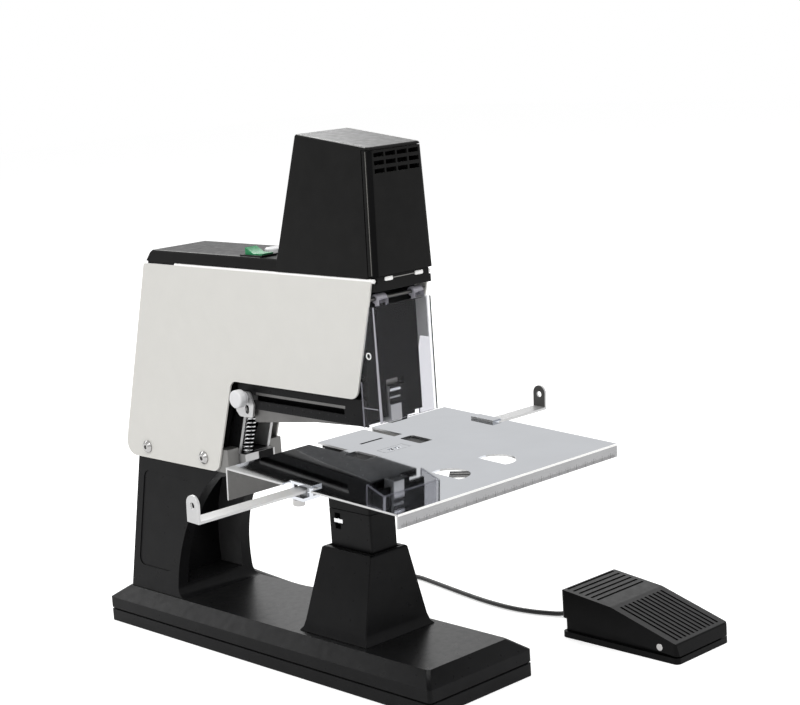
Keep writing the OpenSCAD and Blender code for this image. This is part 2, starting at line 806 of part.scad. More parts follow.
module frame_feet() color(dark) {
  for (s = [0, 1]) mirror([s, 0, 0]) difference() {
    union() {
      box([frame_x, spring_y, col_top], [inner_x, panel_rear - 20, col_top + bar_h]);
      box([ear_x, spring_y, col_top], [frame_x + 1, foot_line(col_top + bar_h, 5), col_top + bar_h]);
    }
    for (y = [screw_rear, screw_front]) rod_x(inner_x - 6, inner_x + 1, y, screw_z, screw_r + pin_fit);
  }
}

module panel_shape() {
  difference() {
    polygon(rounded([[panel_rear, head_z], [panel_rear_top, panel_z], [panel_front, panel_z],
      [panel_nose, notch_z], [notch_rear, notch_z], [panel_foot_y, head_z]], [11, 3, 0, 9, 8, 9]));
    for (y = [screw_rear, screw_front]) translate([y, screw_z]) circle(screw_r + 0.3);
  }
}

module side_panel(s) {
  along_x(s > 0 ? inner_x : -head_w / 2, s > 0 ? head_w / 2 : -inner_x) panel_shape();
  rod_y(panel_front - 1.7, 98, s * (head_w / 2 - bead_r), panel_z + 0.2, bead_r);
}

module side_panel_left() color(white) {
  side_panel(-1);
}

module side_panel_right() color(white) {
  side_panel(1);
}

module panel_screws() color(steel) {
  for (s = [-1, 1], y = [screw_rear, screw_front])
    translate([s * head_w / 2, y, screw_z]) rotate([0, s * 90, 0]) difference() {
      union() {
        translate([0, 0, -panel_t - 5]) cylinder(h = 6.5, r = screw_r);
        cylinder(h = 1, r = screw_head_r);
        translate([0, 0, 1]) cylinder(h = 2.2, r1 = screw_head_r, r2 = screw_head_r * 0.6);
      }
      translate([0, 0, 1.2]) cylinder(h = 3, r = 1.9, $fn = 6);
    }
}

function rear_line(z, g) = panel_rear_top + (panel_z - z) * (panel_rear - panel_rear_top) / panel_h - g;

module rear_cover() color(black) {
  z0 = head_z + 2;
  z1 = panel_z - 3;
  along_x(-inner_x, inner_x) polygon([[rear_line(z1, 1.5), z1], [rear_line(z0 + 6, 1.5), z0 + 6],
    [rear_line(z0 + 6, 5), z0], [175, z0], [175, z0 + 2], [rear_line(z0 + 7, 6), z0 + 2],
    [rear_line(z0 + 7, 3.5), z0 + 7], [rear_line(z1, 3.5), z1]]);
}

module tower_blank(i) {
  x = tower_x - i;
  xt = tower_top_x - i;
  r = edge_r - i * 0.5;
  c = cap_r - r;
  zf = panel_z + tower_h - i;
  zr = zf + tower_rise;
  hull() {
    box([-x, tower_front + cap_r, skirt_z - i], [x, tower_rear + 2.6 - i, skirt_z - i + 0.2]);
    for (s = [-1, 1]) {
      for (a = [0, 45, 90]) translate([s * (xt - 0.5 - cap_r + c * sin(a)),
        tower_front + tower_lean + i + cap_r - c * cos(a), zf - r]) sphere(r, $fn = 24);
      translate([s * (xt - r), tower_back - i - r, zr - r]) sphere(r, $fn = 24);
    }
  }
}

// Frame of the tower's front face: X across, Z up the face, Y into the tower
module on_front() {
  translate([0, tower_front, panel_z + 1.4]) rotate([-tower_tilt, 0, 0]) children();
}

// Vented cap's block, drawn in by a wall
module cap_blank(i, d, z0, z1) {
  hull() for (k = [0, 1]) {
    a = (k == 0 ? tower_x : tower_top_x - 0.5) - i;
    translate([0, 0, k == 0 ? z0 : z1 - 0.1]) linear_extrude(0.1)
      polygon(rounded([[-a, d], [-a, i], [a, i], [a, d]], [0, cap_r - i, cap_r - i, 0]));
  }
}

module head_cover() color(black) {
  difference() {
    union() {
      tower_blank(0);
      frustum([-tower_x + 0.4, tower_x - 0.4, -60, panel_rear_top - 3.4], skirt_z,
        [-tower_x + 1, tower_x - 1, -60, panel_rear_top - 9], deck_z - 2);
      frustum([-tower_x + 1, tower_x - 1, -60, panel_rear_top - 9], deck_z - 2,
        [-tower_x + 2.6, tower_x - 2.6, -60, panel_rear_top - 11], deck_z);
    }
    tower_blank(cover_t);
    box([-tower_x + 3.4, -62, skirt_z - 1], [tower_x - 3.4, panel_rear_top - 14, deck_z - cover_t]);
    on_front() box([-60, -20, -20], [60, cap_d + groove, cap_top + 0.6]);
    box([rocker_x - 7.2, rocker_y - 12.2, panel_z], [rocker_x + 7.2, rocker_y + 12.2, deck_z + 1]);
    translate([dial_x, dial_y, panel_z]) cylinder(h = deck_up + 2, r = 3 + slip);
  }
  for (s = [0, 1]) mirror([s, 0, 0]) {
    box([24, -108, panel_z - 16], [26, 124, skirt_z - 0.5]);
    for (y = [-96, 60, 112]) {
      box([24, y, skirt_z - 1], [27, y + 6, skirt_z + 2]);
      box([25, y, skirt_z + 0.2], [28.6, y + 6, skirt_z + 2]);
    }
  }
}

module front_cover() color(black) {
  on_front() difference() {
    union() {
      difference() {
        cap_blank(0, cap_d, 2.4, cap_top);
        cap_blank(cover_t, cap_d + 5, 1, cap_top - cover_t);
      }
      box([-tower_x + 4, cover_t - 0.5, 2.4], [tower_x - 4, cap_d, 5.4]);
    }
    for (r = [0:vent_rows - 1], c = [0:vent_cols - 1])
      translate([(c - (vent_cols - 1) / 2) * 48 / vent_cols, 0, cap_top - 3.4 - r * vent_pitch])
        box([-24 / vent_cols + 0.8, -1, -vent_h / 2], [24 / vent_cols - 0.8, cover_t + 1, vent_h / 2]);
  }
}

module hinge_strip() color(black) {
  x = head_w / 2 - 2 * bead_r - 0.3;
  y = tower_front + 2.4;
  box([-inner_x, y, rod_z + 6], [inner_x, y + 6.6, panel_z - bead_r - 0.2]);
  box([-x, y, rod_z + 7], [x, y + 6.6, panel_z + 3.4]);
}

module guard_rod() color(steel) {
  rod_x(-inner_x, inner_x, rod_y, rod_z, rod_r);
}

module head_front_plate() color(black) {
  difference() {
    union() {
      box([-inner_x + 1.7, plate_y - 2, nose_z + 5], [inner_x - 1.7, plate_y, panel_z - 2]);
      for (s = [0, 1]) mirror([s, 0, 0]) {
        box([inner_x - 3.7, plate_y - 2, notch_z + 18], [inner_x - 1.7, plate_y + 15, panel_z - 5]);
        box([inner_x - 2, guard_rear + 1, notch_z + 18], [inner_x, plate_y + 15, panel_z - 5]);
      }
    }
    box([-nose_x - 0.6, plate_y - 3, nose_z], [nose_x + 0.6, plate_y + 1, arm_top + 0.6]);
  }
}

module switch_bezel() color(black) {
  translate([rocker_x, rocker_y, 0]) difference() {
    union() {
      box([-8.2, -13.2, deck_z], [8.2, 13.2, deck_z + 1.5]);
      box([-7, -12, skirt_z + 0.4], [7, 12, deck_z + 1]);
    }
    box([-rocker_w - 0.4, -11.5, skirt_z], [rocker_w + 0.4, 11.5, deck_z + 2]);
    rod_x(-6.8, 6.8, 0, rocker_z, 1 + run_fit);
  }
}

module rocker() color([0.1, 0.5, 0.22]) {
  l = rocker_l;
  translate([rocker_x, rocker_y, rocker_z]) rotate([rocker_tilt, 0, 0]) {
    along_x(-rocker_w, rocker_w) {
      intersection() {
        circle(l - 0.4);
        translate([-20, -5.2]) square([40, 8.2]);
      }
      polygon([[-l + 1, 2], [l - 1, 2], [l, 7.5], [0, 5], [-l, 7.5]]);
    }
    rod_x(-rocker_w - 0.6, rocker_w + 0.6, 0, 0, 1);
  }
}

module dial() color(white) {
  translate([dial_x, dial_y, deck_z]) difference() {
    union() {
      translate([0, 0, slip]) cylinder(h = 3, r = dial_r);
      translate([0, 0, 3 + slip]) cylinder(h = 1, r1 = dial_r, r2 = dial_r - 1);
      translate([0, 0, -9]) cylinder(h = 10, r = 3);
    }
    box([-0.8, -dial_r - 1, 3.3], [0.8, dial_r + 1, 6]);
  }
}

module solenoid_yoke() color(dark) {
  z = beam_top;
  translate([0, plunger_y, z]) difference() {
    box([-frame_x, -coil_or - 4, 0], [frame_x, coil_or + 4, coil_h + 9]);
    box([-frame_x - 1, -coil_or - 0.3, 5], [frame_x + 1, coil_or + 0.3, coil_h + 5]);
    translate([0, 0, -1]) cylinder(h = 10, r = plunger_r + run_fit);
  }
}

module solenoid_coil() color([0.45, 0.24, 0.12]) {
  translate([0, plunger_y, beam_top + 5]) difference() {
    union() {
      cylinder(h = coil_h, r = coil_or - 1);
      cylinder(h = 3, r = coil_or);
      translate([0, 0, coil_h - 3]) cylinder(h = 3, r = coil_or);
    }
    translate([0, 0, -1]) cylinder(h = coil_h - 2, r = plunger_r + run_fit);
  }
}

module plunger() color(steel) {
  translate([0, plunger_y, arm_top + 0.5]) cylinder(h = beam_top + 40 - arm_top, r = plunger_r);
}

module pivot_shaft() color(steel) {
  rod_x(-frame_x - 2, frame_x + 2, pivot_y, pivot_z, shaft_r);
}

module arm_channel() color(black) {
  difference() {
    union() {
      difference() {
        box([-arm_x, arm_front, arm_z], [arm_x, pivot_y + 12, arm_top]);
        box([-arm_x + arm_t, arm_front - 1, arm_z - 1], [arm_x - arm_t, pivot_y + 13, arm_top - arm_t]);
      }
      box([-scale_x, arm_front, scale_top - 4.2], [-arm_x + 1, scale_rear - 4, scale_top]);
      for (s = [0, 1]) mirror([s, 0, 0])
        box([arm_x - arm_t, arm_front, nose_z], [arm_x, scale_rear - 4, arm_z + 1]);
      box([-scale_x + 2, arm_front, nose_z], [arm_x, scale_rear - 4, nose_z + 1.7]);
      box([arm_x - 1, arm_front, nose_z], [inner_x - 2.2, arm_front + 46, arm_z]);
    }
    rod_x(-30, 30, pivot_y, pivot_z, shaft_r + run_fit);
  }
}

module scale_plate() color(black) {
  along_x(-scale_x - scale_t, -scale_x) difference() {
    translate([arm_front - 3, scale_z]) square([scale_rear - arm_front + 3, scale_h]);
    translate([-95, slot_z - slot_h / 2]) square([stud_y + 95 + stud_r + 0.6, slot_h]);
  }
}

module gauge_rail() color(steel) {
  along_x(-scale_x, -scale_x + 1.5) polygon([[arm_front, scale_z], [-60, scale_z - 3],
    [10, scale_z - 11], [16, scale_z - 11], [16, slot_z - 4.8], [arm_front, slot_z - 4.8]]);
}

module arm_nose() color(steel) {
  difference() {
    box([-nose_x, plate_y - 4.5, nose_z], [nose_x, arm_front, arm_top - 4]);
    box([-6.7, staple_y - 0.7, nose_z - 1], [6.7, staple_y + 0.7, arm_top]);
    box([-nose_x - 1, plate_y - 5, nose_z + 15], [nose_x + 1, plate_y - 3.5, nose_z + 24]);
  }
}

module magazine() color(steel) {
  along_y(arm_front, 28) difference() {
    translate([-9, arm_z - 2]) square([18, arm_h + 2 - arm_t]);
    translate([-7.3, arm_z]) square([14.6, 21.5]);
  }
}

module staple_strip() color(steel) {
  along_y(arm_front + 0.5, -58) difference() {
    translate([-6.5, arm_z + 0.3]) square([13, 12.5]);
    translate([-5.8, arm_z]) square([11.6, 12.1]);
  }
}

module staple_pusher() color(brass) {
  box([-6.6, -57.5, arm_z + 0.4], [6.6, -40, arm_z + 17]);
}

module driver_blade() color(steel) {
  box([-6.4, staple_y - 0.5, nose_z + 21], [6.4, staple_y + 0.5, nose_z + 52]);
  box([-7.5, staple_y - 0.5, nose_z + 50], [7.5, staple_y + 3, nose_z + 55]);
}

module spring_cup() color(steel) {
  y = cup_y;
  x = -ear_x + frame_t + slip;
  difference() {
    box([x, y - 8, cup_z], [spring_x + 7, y + 9, arm_z + 1]);
    box([x - 1, y - 5, cup_z + 5], [spring_x + 8, y + 6, cup_z + 13]);
  }
  box([-arm_x + arm_t, y - 8, arm_z], [arm_x - arm_t, y + 9, arm_z + 5]);
  translate([spring_x, y, cup_z - 2.2]) cylinder(h = 3.2, r = spring_r - spring_wire / 2 - 0.9);
}

function helix(n, r, h, per, lean) = [for (i = [0:n * per])
  [r * cos(360 * i / per), r * sin(360 * i / per) - lean * i / (n * per), h * i / (n * per)]];

spring_h = cup_z - bridge_z - spring_wire - 0.2;
spring_path = helix(spring_turns, spring_r, spring_h, 8, spring_lean);
pedal_h = lever_h - lever_t - 3.1 - floor_t - 1.4;
pedal_path = helix(6, 5, pedal_h, 8, 0);

module return_spring() color(steel) {
  translate([spring_x, spring_y, bridge_z + spring_wire / 2 + 0.1])
    tube(spring_path, spring_wire / 2, [1, 0, 0], 6);
}

module gauge_slide() color(steel) {
  x = -scale_x - scale_t - slip;
  along_x(x - 2, x) difference() {
    polygon(rounded([[stud_y - 5, slot_z + 4.5], [stud_y + 5, slot_z + 4.5], [stud_y + 12, slot_z - 4],
      [stud_y + 13.3, slot_z - 12], [stud_y + 9, slot_z - 16.8], [stud_y - 7, slot_z - 16.8],
      [stud_y - 9.6, slot_z - 6]], [3, 3, 3, 3, 4, 3, 3]));
    hull() for (z = [-11.4, -8.6]) translate([stud_y - 1, slot_z + z]) circle(2.4);
  }
  rod_x(x - knob_l + 1, -scale_x + 3, stud_y, slot_z, stud_r);
  box([-scale_x + slip, stud_y - 6, slot_z - 4], [-scale_x + 4.5, stud_y + 2.4, slot_z + 4]);
}

module gauge_knob() color(white) {
  x = -scale_x - scale_t - 2 * slip - 2;
  difference() {
    union() {
      rod_x(x - knob_l + 1.5, x, stud_y, slot_z, knob_r);
      rod_x(x - knob_l, x - knob_l + 2, stud_y, slot_z, knob_r - 1.5);
    }
    rod_x(x - knob_l + 2, x + 1, stud_y, slot_z, stud_r + run_fit);
  }
}

function panel_edge(z) = panel_front + (panel_z - z) * (panel_nose - panel_front) / (panel_z - notch_z);

module front_guard() color(clear) {
  z0 = head_z + guard_low;
  z1 = rod_z - 5;
  difference() {
    union() {
      box([-guard_x, guard_front, z0], [guard_x, guard_front + guard_t, z1]);
      for (s = [0, 1]) mirror([s, 0, 0]) along_x(guard_x - guard_t, guard_x)
        polygon([[guard_front, z0], [guard_rear, z0 - 5.2], [guard_rear, notch_z + 14],
          [panel_edge(z1) - 0.7, z1], [guard_front, z1]]);
      for (s = [-1, 1]) {
        rod_x(s > 0 ? 14 : -24, s > 0 ? 24 : -14, rod_y, rod_z, lug_r);
        box([s > 0 ? 14 : -24, guard_front, z1 - 1], [s > 0 ? 24 : -14, rod_y, rod_z]);
      }
    }
    rod_x(-40, 40, rod_y, rod_z, rod_r + run_fit);
  }
}

module pedal_base() color(black) {
  a = pedal_left + lever_t + slip;
  b = pedal_left + pedal_w - lever_t - slip;
  y1 = pedal_y - lever_t - slip;
  y0 = pedal_end + lever_t + 3;
  difference() {
    union() {
      translate([pedal_x, pedal_y - pedal_l / 2, 0]) linear_extrude(floor_t) rrect(pedal_w, pedal_l, 4);
      difference() {
        along_x(a, b) polygon([[y0, 1], [y1, 1], [y1, 21], [pedal_y - knee_d - 10, 21],
          [pin_y, pin_z + 5.5], [y0, pin_z + 1.5]]);
        box([a + 2.5, y0 + 2.5, floor_t], [b - 2.5, y1 - 2.5, 40]);
      }
    }
    rod_x(a - 1, b + 1, pin_y, pin_z, pin_r + pin_fit);
    rod_y(pedal_y - 20, pedal_y + 1, gland_x, gland_z, 3.4 + pin_fit);
  }
}

module pedal_switch() color(dark) {
  y = pedal_y - 24;
  box([pedal_x - 24, y - 14, floor_t], [pedal_x - 13, y + 14, floor_t + 15]);
  translate([pedal_x - 18.5, y + 4, floor_t + 14]) cylinder(h = 4, r = 2);
}

module pedal_pin() color(steel) {
  rod_x(pedal_left - 0.4, pedal_left + pedal_w + 0.4, pin_y, pin_z, pin_r);
}

module pedal_spring() color(steel) {
  translate([pedal_x, pedal_y - 22, floor_t + 0.7]) tube(pedal_path, 0.6, [1, 0, 0], 6);
}

module pedal_gland() color(dark) {
  rod_y(pedal_y - 7, gland_y - 8, gland_x, gland_z, 3.4);
  translate([gland_x, gland_y - 8, gland_z]) rotate([-90, 0, 0]) cylinder(h = 8, r1 = 3.4, r2 = 2.5);
}

// Lever's side outline, drawn in by the wall
function lever_side(i) = [[pedal_end + i, 6.3 - i], [pedal_y - i, 17 - i], [pedal_y - i, lever_h - i],
  [pedal_y - knee_d, knee_h - i], [pedal_end + 1.5 + i, toe_h - i]];

// Grooves across the lever's flat top
module grooves(a) {
  for (k = [0:5]) translate([pedal_x, pedal_y - 5, lever_h - 5 * tan(a)]) rotate([a, 0, 0])
    box([-pedal_w / 2 + 4, -k * 6.3 - rib_w / 2, -rib_d], [pedal_w / 2 - 4, rib_w / 2 - k * 6.3, 4]);
}

// Grooves down the lever's slope
module flutes(a) {
  translate([pedal_x, pedal_y - knee_d, knee_h]) rotate([a, 0, 0]) for (k = [-5:5])
    translate([k * flute_pitch, 0, 0]) box([-rib_w / 2, 5.5 - (pedal_l - knee_d) / cos(a), -rib_d],
      [rib_w / 2, -4.5, 4]);
}

module pedal_lever() color(black) {
  difference() {
    intersection() {
      along_x(pedal_left, pedal_left + pedal_w) polygon(rounded(lever_side(0), [0, 1, 3, 12, 2]));
      translate([pedal_x, pedal_y - pedal_l / 2, 0]) linear_extrude(lever_h + 5) rrect(pedal_w, pedal_l, 4);
    }
    along_x(pedal_left + lever_t, pedal_left + pedal_w - lever_t) polygon(lever_side(lever_t));
    rod_x(pedal_left - 1, pedal_left + pedal_w + 1, pin_y, pin_z, pin_r + run_fit);
    box([gland_x - 6, pedal_y - 5, 0], [gland_x + 6, pedal_y + 1, 26]);
    grooves(atan((lever_h - knee_h) / knee_d));
    flutes(atan((knee_h - toe_h) / (pedal_l - knee_d - 1.5)));
  }
}

module pedal_plug() color(black) {
  rod_y(port_y - 8, port_y + 3, socket_x, port_z, 1.9);
  rod_y(port_y + 2.5, port_y + 22.5, socket_x, port_z, 5.5);
  translate([socket_x, port_y + 22.5, port_z]) rotate([-90, 0, 0])
    cylinder(h = plug_y - port_y - 22.5, r1 = 4.2, r2 = 2.5);
}

wind_mid = 1170;
wind_end = 2250;
function wind_at(a) = let (r = a < wind_mid ? wind_r - wind_pitch * a / 360
    : wind_r - wind_pitch * (2 * wind_mid - a) / 360,
  s = min(1, max(0, (a - 1080) / 180)), z = wind_z + wind_rise * s * s * (3 - 2 * s))
  [wind_x + r * cos(90 - a), wind_y + r * sin(90 - a), z];
wind_body = [for (i = [0:150]) wind_at(wind_end * i / 150)];
wind_in = wind_body[0];
wind_out = wind_body[150];
wind_path = concat([wind_in - [lead_d, 0, 0]], wind_body, [wind_out - [0, lead_d, 0]]);
in_x = wind_in[0] - lead_d;
in_y = wind_in[1];
out_y = wind_out[1] - lead_d;

// Lead from the plug to the coil
route_a = [[socket_x, plug_y, port_z], [socket_x, plug_y + 5, port_z],
  [socket_x + 0.3, plug_y + 16, port_z - 2],
  [socket_x + 0.8, plug_y + 27, port_z - 9], [socket_x + 1.4, plug_y + 34, port_z - 21],
  [socket_x + 2, plug_y + 36, port_z - 38], [socket_x + 2.8, plug_y + 37, port_z - 55],
  [socket_x + 4.5, plug_y + 39, port_z - 69], [socket_x + 9, plug_y + 44, lead_r + 2.6],
  [socket_x + 17, plug_y + 50, lead_r + 0.2], [socket_x + 28, in_y - 0.6, lead_r],
  [in_x - 16, in_y, lead_r + 0.1], [in_x - 8, in_y, wind_z - 0.4], [in_x - 4, in_y, wind_z],
  [in_x, in_y, wind_z]];
// Lead from the coil to the pedal
route_b = [[wind_out[0], out_y, wind_out[2]], [wind_out[0], out_y - 4, wind_out[2]],
  [wind_out[0] - 0.2, out_y - 14, lead_r + 3.6], [wind_out[0] - 1, out_y - 26, lead_r + 0.6],
  [wind_out[0] - 3, out_y - 44, lead_r], [103, 160, lead_r], [100, 132, lead_r], [101, 110, lead_r],
  [108, 93, lead_r], [123, 84, lead_r], [145, 82, lead_r], [165, 79, lead_r], [177, 69, lead_r],
  [181.5, 52, lead_r], [178.5, 30, lead_r], [174, 5, lead_r], [169.6, -20, lead_r], [166, -44, lead_r],
  [164.3, -66, lead_r], [164.6, -84, lead_r], [167.2, -100, lead_r], [171.2, -113, lead_r],
  [gland_x - 3, gland_y + 25, lead_r + 0.3], [gland_x - 0.6, gland_y + 14, lead_r + 3],
  [gland_x, gland_y + 8, gland_z - 1], [gland_x, gland_y + 4, gland_z], [gland_x, gland_y, gland_z]];

echo(coil_gap = turn_gap(wind_body, 13, lead_d), spring_gap = turn_gap(spring_path, 5, spring_wire));

module lead_machine() color(black) {
  tube(spline(route_a, 2), lead_r, [1, 0, 0]);
}

module cord_coil() color(black) {
  tube(wind_path, lead_r, [0, 0, 1], 6);
}

module lead_pedal() color(black) {
  tube(spline(route_b, 2), lead_r, [0, 0, 1]);
}

module coil_tie() color(dark) {
  r0 = wind_r - wind_pitch * 990 / 360 - lead_r - 0.4;
  r1 = wind_r - wind_pitch * 270 / 360 + lead_r + 0.4;
  z1 = wind_z + wind_rise + lead_r + 0.35;
  translate([wind_x, wind_y, 0]) difference() {
    box([-r1 - tie_t, -tie_w / 2, 0], [-r0 + tie_t, tie_w / 2, z1 + tie_t]);
    box([-r1, -tie_w, tie_t], [-r0, tie_w, z1]);
  }
}

base_tray();
base_feet();
base_shell();
column();
power_inlet();
pedal_socket();
pedestal();
anvil_post();
anvil_head();
post_screw();
clincher();
table_bracket();
table();
guide_clamps();
clamp_screws();
frame();
frame_feet();
side_panel_left();
side_panel_right();
panel_screws();
rear_cover();
head_cover();
front_cover();
hinge_strip();
guard_rod();
head_front_plate();
switch_bezel();
solenoid_yoke();
solenoid_coil();
pivot_shaft();
arm_channel();
scale_plate();
gauge_rail();
arm_nose();
magazine();
staple_strip();
spring_cup();
return_spring();
gauge_slide();
gauge_knob();
plunger();
driver_blade();
staple_pusher();
front_guard();
rocker();
dial();
guide_left();
guide_right();
pedal_base();
pedal_switch();
pedal_pin();
pedal_spring();
pedal_gland();
pedal_lever();
pedal_plug();
lead_machine();
cord_coil();
coil_tie();
lead_pedal();
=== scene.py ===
"""Looks of an electric saddle stapler: a Blender add-on layout that is run as a script."""

import json
import math

import bmesh
import bpy
from bpy.props import (
    FloatProperty,
    FloatVectorProperty,
    IntProperty,
    PointerProperty,
)
from mathutils import Matrix, Vector


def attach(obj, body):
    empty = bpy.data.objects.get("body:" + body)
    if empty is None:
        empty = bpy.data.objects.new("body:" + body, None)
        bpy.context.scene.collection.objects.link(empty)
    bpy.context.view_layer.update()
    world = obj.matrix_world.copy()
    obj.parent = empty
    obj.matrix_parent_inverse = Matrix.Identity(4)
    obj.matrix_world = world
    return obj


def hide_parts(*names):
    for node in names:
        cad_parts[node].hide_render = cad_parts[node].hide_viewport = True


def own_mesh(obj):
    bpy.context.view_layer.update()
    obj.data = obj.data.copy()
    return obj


bl_info = {
    "name": "Saddle stapler",
    "version": (1, 0, 0),
    "blender": (4, 5, 0),
    "location": "View3D > Sidebar > Stapler",
    "description": "Finishes and fine parts of an electric saddle stapler with a foot pedal",
    "category": "Object",
}

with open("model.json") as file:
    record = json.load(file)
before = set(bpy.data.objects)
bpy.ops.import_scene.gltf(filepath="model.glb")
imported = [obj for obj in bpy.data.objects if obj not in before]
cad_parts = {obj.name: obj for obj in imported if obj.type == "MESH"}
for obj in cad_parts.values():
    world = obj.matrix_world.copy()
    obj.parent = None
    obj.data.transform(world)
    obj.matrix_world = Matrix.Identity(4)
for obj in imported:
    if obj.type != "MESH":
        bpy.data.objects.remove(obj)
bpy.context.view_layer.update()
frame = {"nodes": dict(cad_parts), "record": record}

MM = 0.001


def colour(label, text, value):
    """Colour property with a linear default."""
    return FloatVectorProperty(name=label, description=text, default=value, size=3,
                               min=0.0, max=1.0, subtype="COLOR")


def length(label, text, mm):
    """Length property with its default in millimetres."""
    return FloatProperty(name=label, description=text, default=mm * MM, min=0.0,
                         precision=5, subtype="DISTANCE", unit="LENGTH")


class StaplerFinish(bpy.types.PropertyGroup):
    """Colours and surface qualities of the stapler"""

    paint: colour("Black paint", "Satin powder coat of base, column and pedestal",
                  (0.007, 0.007, 0.0074))
    plastic: colour("Black plastic", "Moulded cover, hinge strip and sockets",
                    (0.0068, 0.0067, 0.0066))
    pedal: colour("Pedal black", "Moulded foot pedal", (0.003, 0.003, 0.0032))
    panel: colour("Panel white", "Warm white paint of the side panels", (0.675, 0.665, 0.632))
    mirror: colour("Mirror steel", "Polished sheet of the table", (0.555, 0.572, 0.603))
    # brushed steel, drawn darker than the mirror sheet as painted shade
    lip: colour("Lip steel", "Brushed front lip of the table", (0.30, 0.30, 0.305))
    # also painted shade: the table's underside flanges and the gauge rail are drawn in this darker steel
    shade: colour("Dark steel", "Flanges, rails and plates that stay dull", (0.13, 0.128, 0.125))
    bright: colour("Bright steel", "Chromed screws, rods and pins", (0.66, 0.665, 0.675))
    zinc: colour("Plain steel", "Zinc-plated plates", (0.27, 0.265, 0.255))
    knob: colour("White plastic", "Gauge knob and dial", (0.74, 0.74, 0.75))
    green: colour("Green plastic", "Lens of the rocker switch", (0.015, 0.30, 0.105))
    clear: colour("Clear plastic", "Tint of the front guard", (0.80, 0.80, 0.825))
    # partly the tone of the cut edges, partly painted highlight on the guard's front left corner and lugs
    guard_cut_edge_and_highlight: colour("Guard edge", "Cut and bonded edges of the clear guard", (0.40, 0.39, 0.43))
    copper: colour("Copper", "Winding of the solenoid", (0.55, 0.25, 0.12))
    brass: colour("Brass", "Staple pusher", (0.62, 0.44, 0.18))
    rubber: colour("Rubber", "Feet, plug and gland", (0.012, 0.012, 0.012))
    sheath: colour("Lead sheath", "Sheath of the pedal's lead", (0.011, 0.011, 0.011))
    floor: colour("Floor", "Pale floor under the stapler", (0.80, 0.80, 0.80))


class StaplerSizes(bpy.types.PropertyGroup):
    """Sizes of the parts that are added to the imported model"""

    lead_d: length("Lead diameter", "Outer diameter of the pedal's lead", 4.0)
    tick_w: length("Tick width", "Width of a ruler tick on the table's lip", 0.22)
    tick_pitch: length("Tick pitch", "Pitch of the ruler on the table's lip", 1.0)
    mark_pitch: length("Mark pitch", "Pitch of the marks on the gauge's scale", 10.0)
    knurl_count: IntProperty(name="Knurls", description="Ribs round the gauge's knob",
                             default=36, min=8, max=80)
    spring_wire: length("Spring wire", "Wire of the return spring", 1.3)
    spring_turns: FloatProperty(name="Spring turns", description="Turns of the return spring",
                                default=9.0, min=4.0, max=12.0)


# ---------------------------------------------------------------- finishes


class Shader:
    """A material built round one Principled shader on Object coordinates."""

    NOISE_LOW, NOISE_HIGH = 0.3, 0.7

    def __init__(self, name):
        self.mat = bpy.data.materials.new(name)
        self.mat.use_nodes = True
        self.tree = self.mat.node_tree
        self.bsdf = self.tree.nodes["Principled BSDF"]
        self.coord = self.add("ShaderNodeTexCoord").outputs["Object"]

    def add(self, kind, **values):
        node = self.tree.nodes.new(kind)
        for key, value in values.items():
            setattr(node, key, value)
        return node

    def link(self, a, b):
        self.tree.links.new(a, b)

    def put(self, **values):
        for key, value in values.items():
            self.bsdf.inputs[key.replace("_", " ")].default_value = value

    def stretched(self, scale):
        turn = self.add("ShaderNodeMapping")
        turn.inputs["Scale"].default_value = scale
        self.link(self.coord, turn.inputs["Vector"])
        return turn.outputs["Vector"]

    def noise(self, scale, detail=3.0, rough=0.55, along=None):
        node = self.add("ShaderNodeTexNoise")
        node.inputs["Scale"].default_value = scale
        node.inputs["Detail"].default_value = detail
        node.inputs["Roughness"].default_value = rough
        self.link(along or self.coord, node.inputs["Vector"])
        return node.outputs["Fac"]

    def spread(self, source, low, high):
        node = self.add("ShaderNodeMapRange")
        for key, value in zip(("From Min", "From Max", "To Min", "To Max"),
                              (self.NOISE_LOW, self.NOISE_HIGH, low, high)):
            node.inputs[key].default_value = value
        self.link(source, node.inputs["Value"])
        return node.outputs["Result"]

    def tone(self, source, a, b):
        node = self.add("ShaderNodeMix", data_type="RGBA")
        inputs = {socket.identifier: socket for socket in node.inputs}
        outputs = {socket.identifier: socket for socket in node.outputs}
        inputs["A_Color"].default_value = (*a, 1.0)
        inputs["B_Color"].default_value = (*b, 1.0)
        self.link(self.spread(source, 0.0, 1.0), inputs["Factor_Float"])
        self.link(outputs["Result_Color"], self.bsdf.inputs["Base Color"])

    def rough(self, source, low, high):
        self.link(self.spread(source, low, high), self.bsdf.inputs["Roughness"])

    def bump(self, source, strength, distance):
        node = self.add("ShaderNodeBump")
        node.inputs["Strength"].default_value = strength
        node.inputs["Distance"].default_value = distance
        self.link(source, node.inputs["Height"])
        self.link(node.outputs["Normal"], self.bsdf.inputs["Normal"])


def shade(rgb, k):
    """The same colour, k times as bright."""
    return tuple(min(1.0, c * k) for c in rgb)


def coated(name, rgb, rough, ior, grain, depth, spread=0.18, sheen=0.0):
    """Textured paint or moulded plastic: fine grain in the bump, soft mottling in tone and gloss."""
    s = Shader(name)
    s.put(IOR=ior, Sheen_Weight=sheen, Sheen_Roughness=0.25)
    s.tone(s.noise(55.0), shade(rgb, 1 - spread), shade(rgb, 1 + spread))
    s.rough(s.noise(160.0), *rough)
    s.bump(s.noise(grain, 2.0), 0.35, depth)
    return s.mat


def plated(name, rgb, rough, along, grain, depth, spread=0.08, rim=1.0, metal=1.0):
    """Bare or plated metal, with marks drawn out along one direction."""
    s = Shader(name)
    s.put(Metallic=metal, IOR=1.5, Specular_Tint=(rim, rim, rim, 1.0))
    marks = s.noise(grain, 3.0, 0.6, s.stretched(along))
    s.tone(s.noise(30.0), shade(rgb, 1 - spread), shade(rgb, 1 + spread))
    s.rough(marks, *rough)
    s.bump(marks, 0.2, depth)
    return s.mat


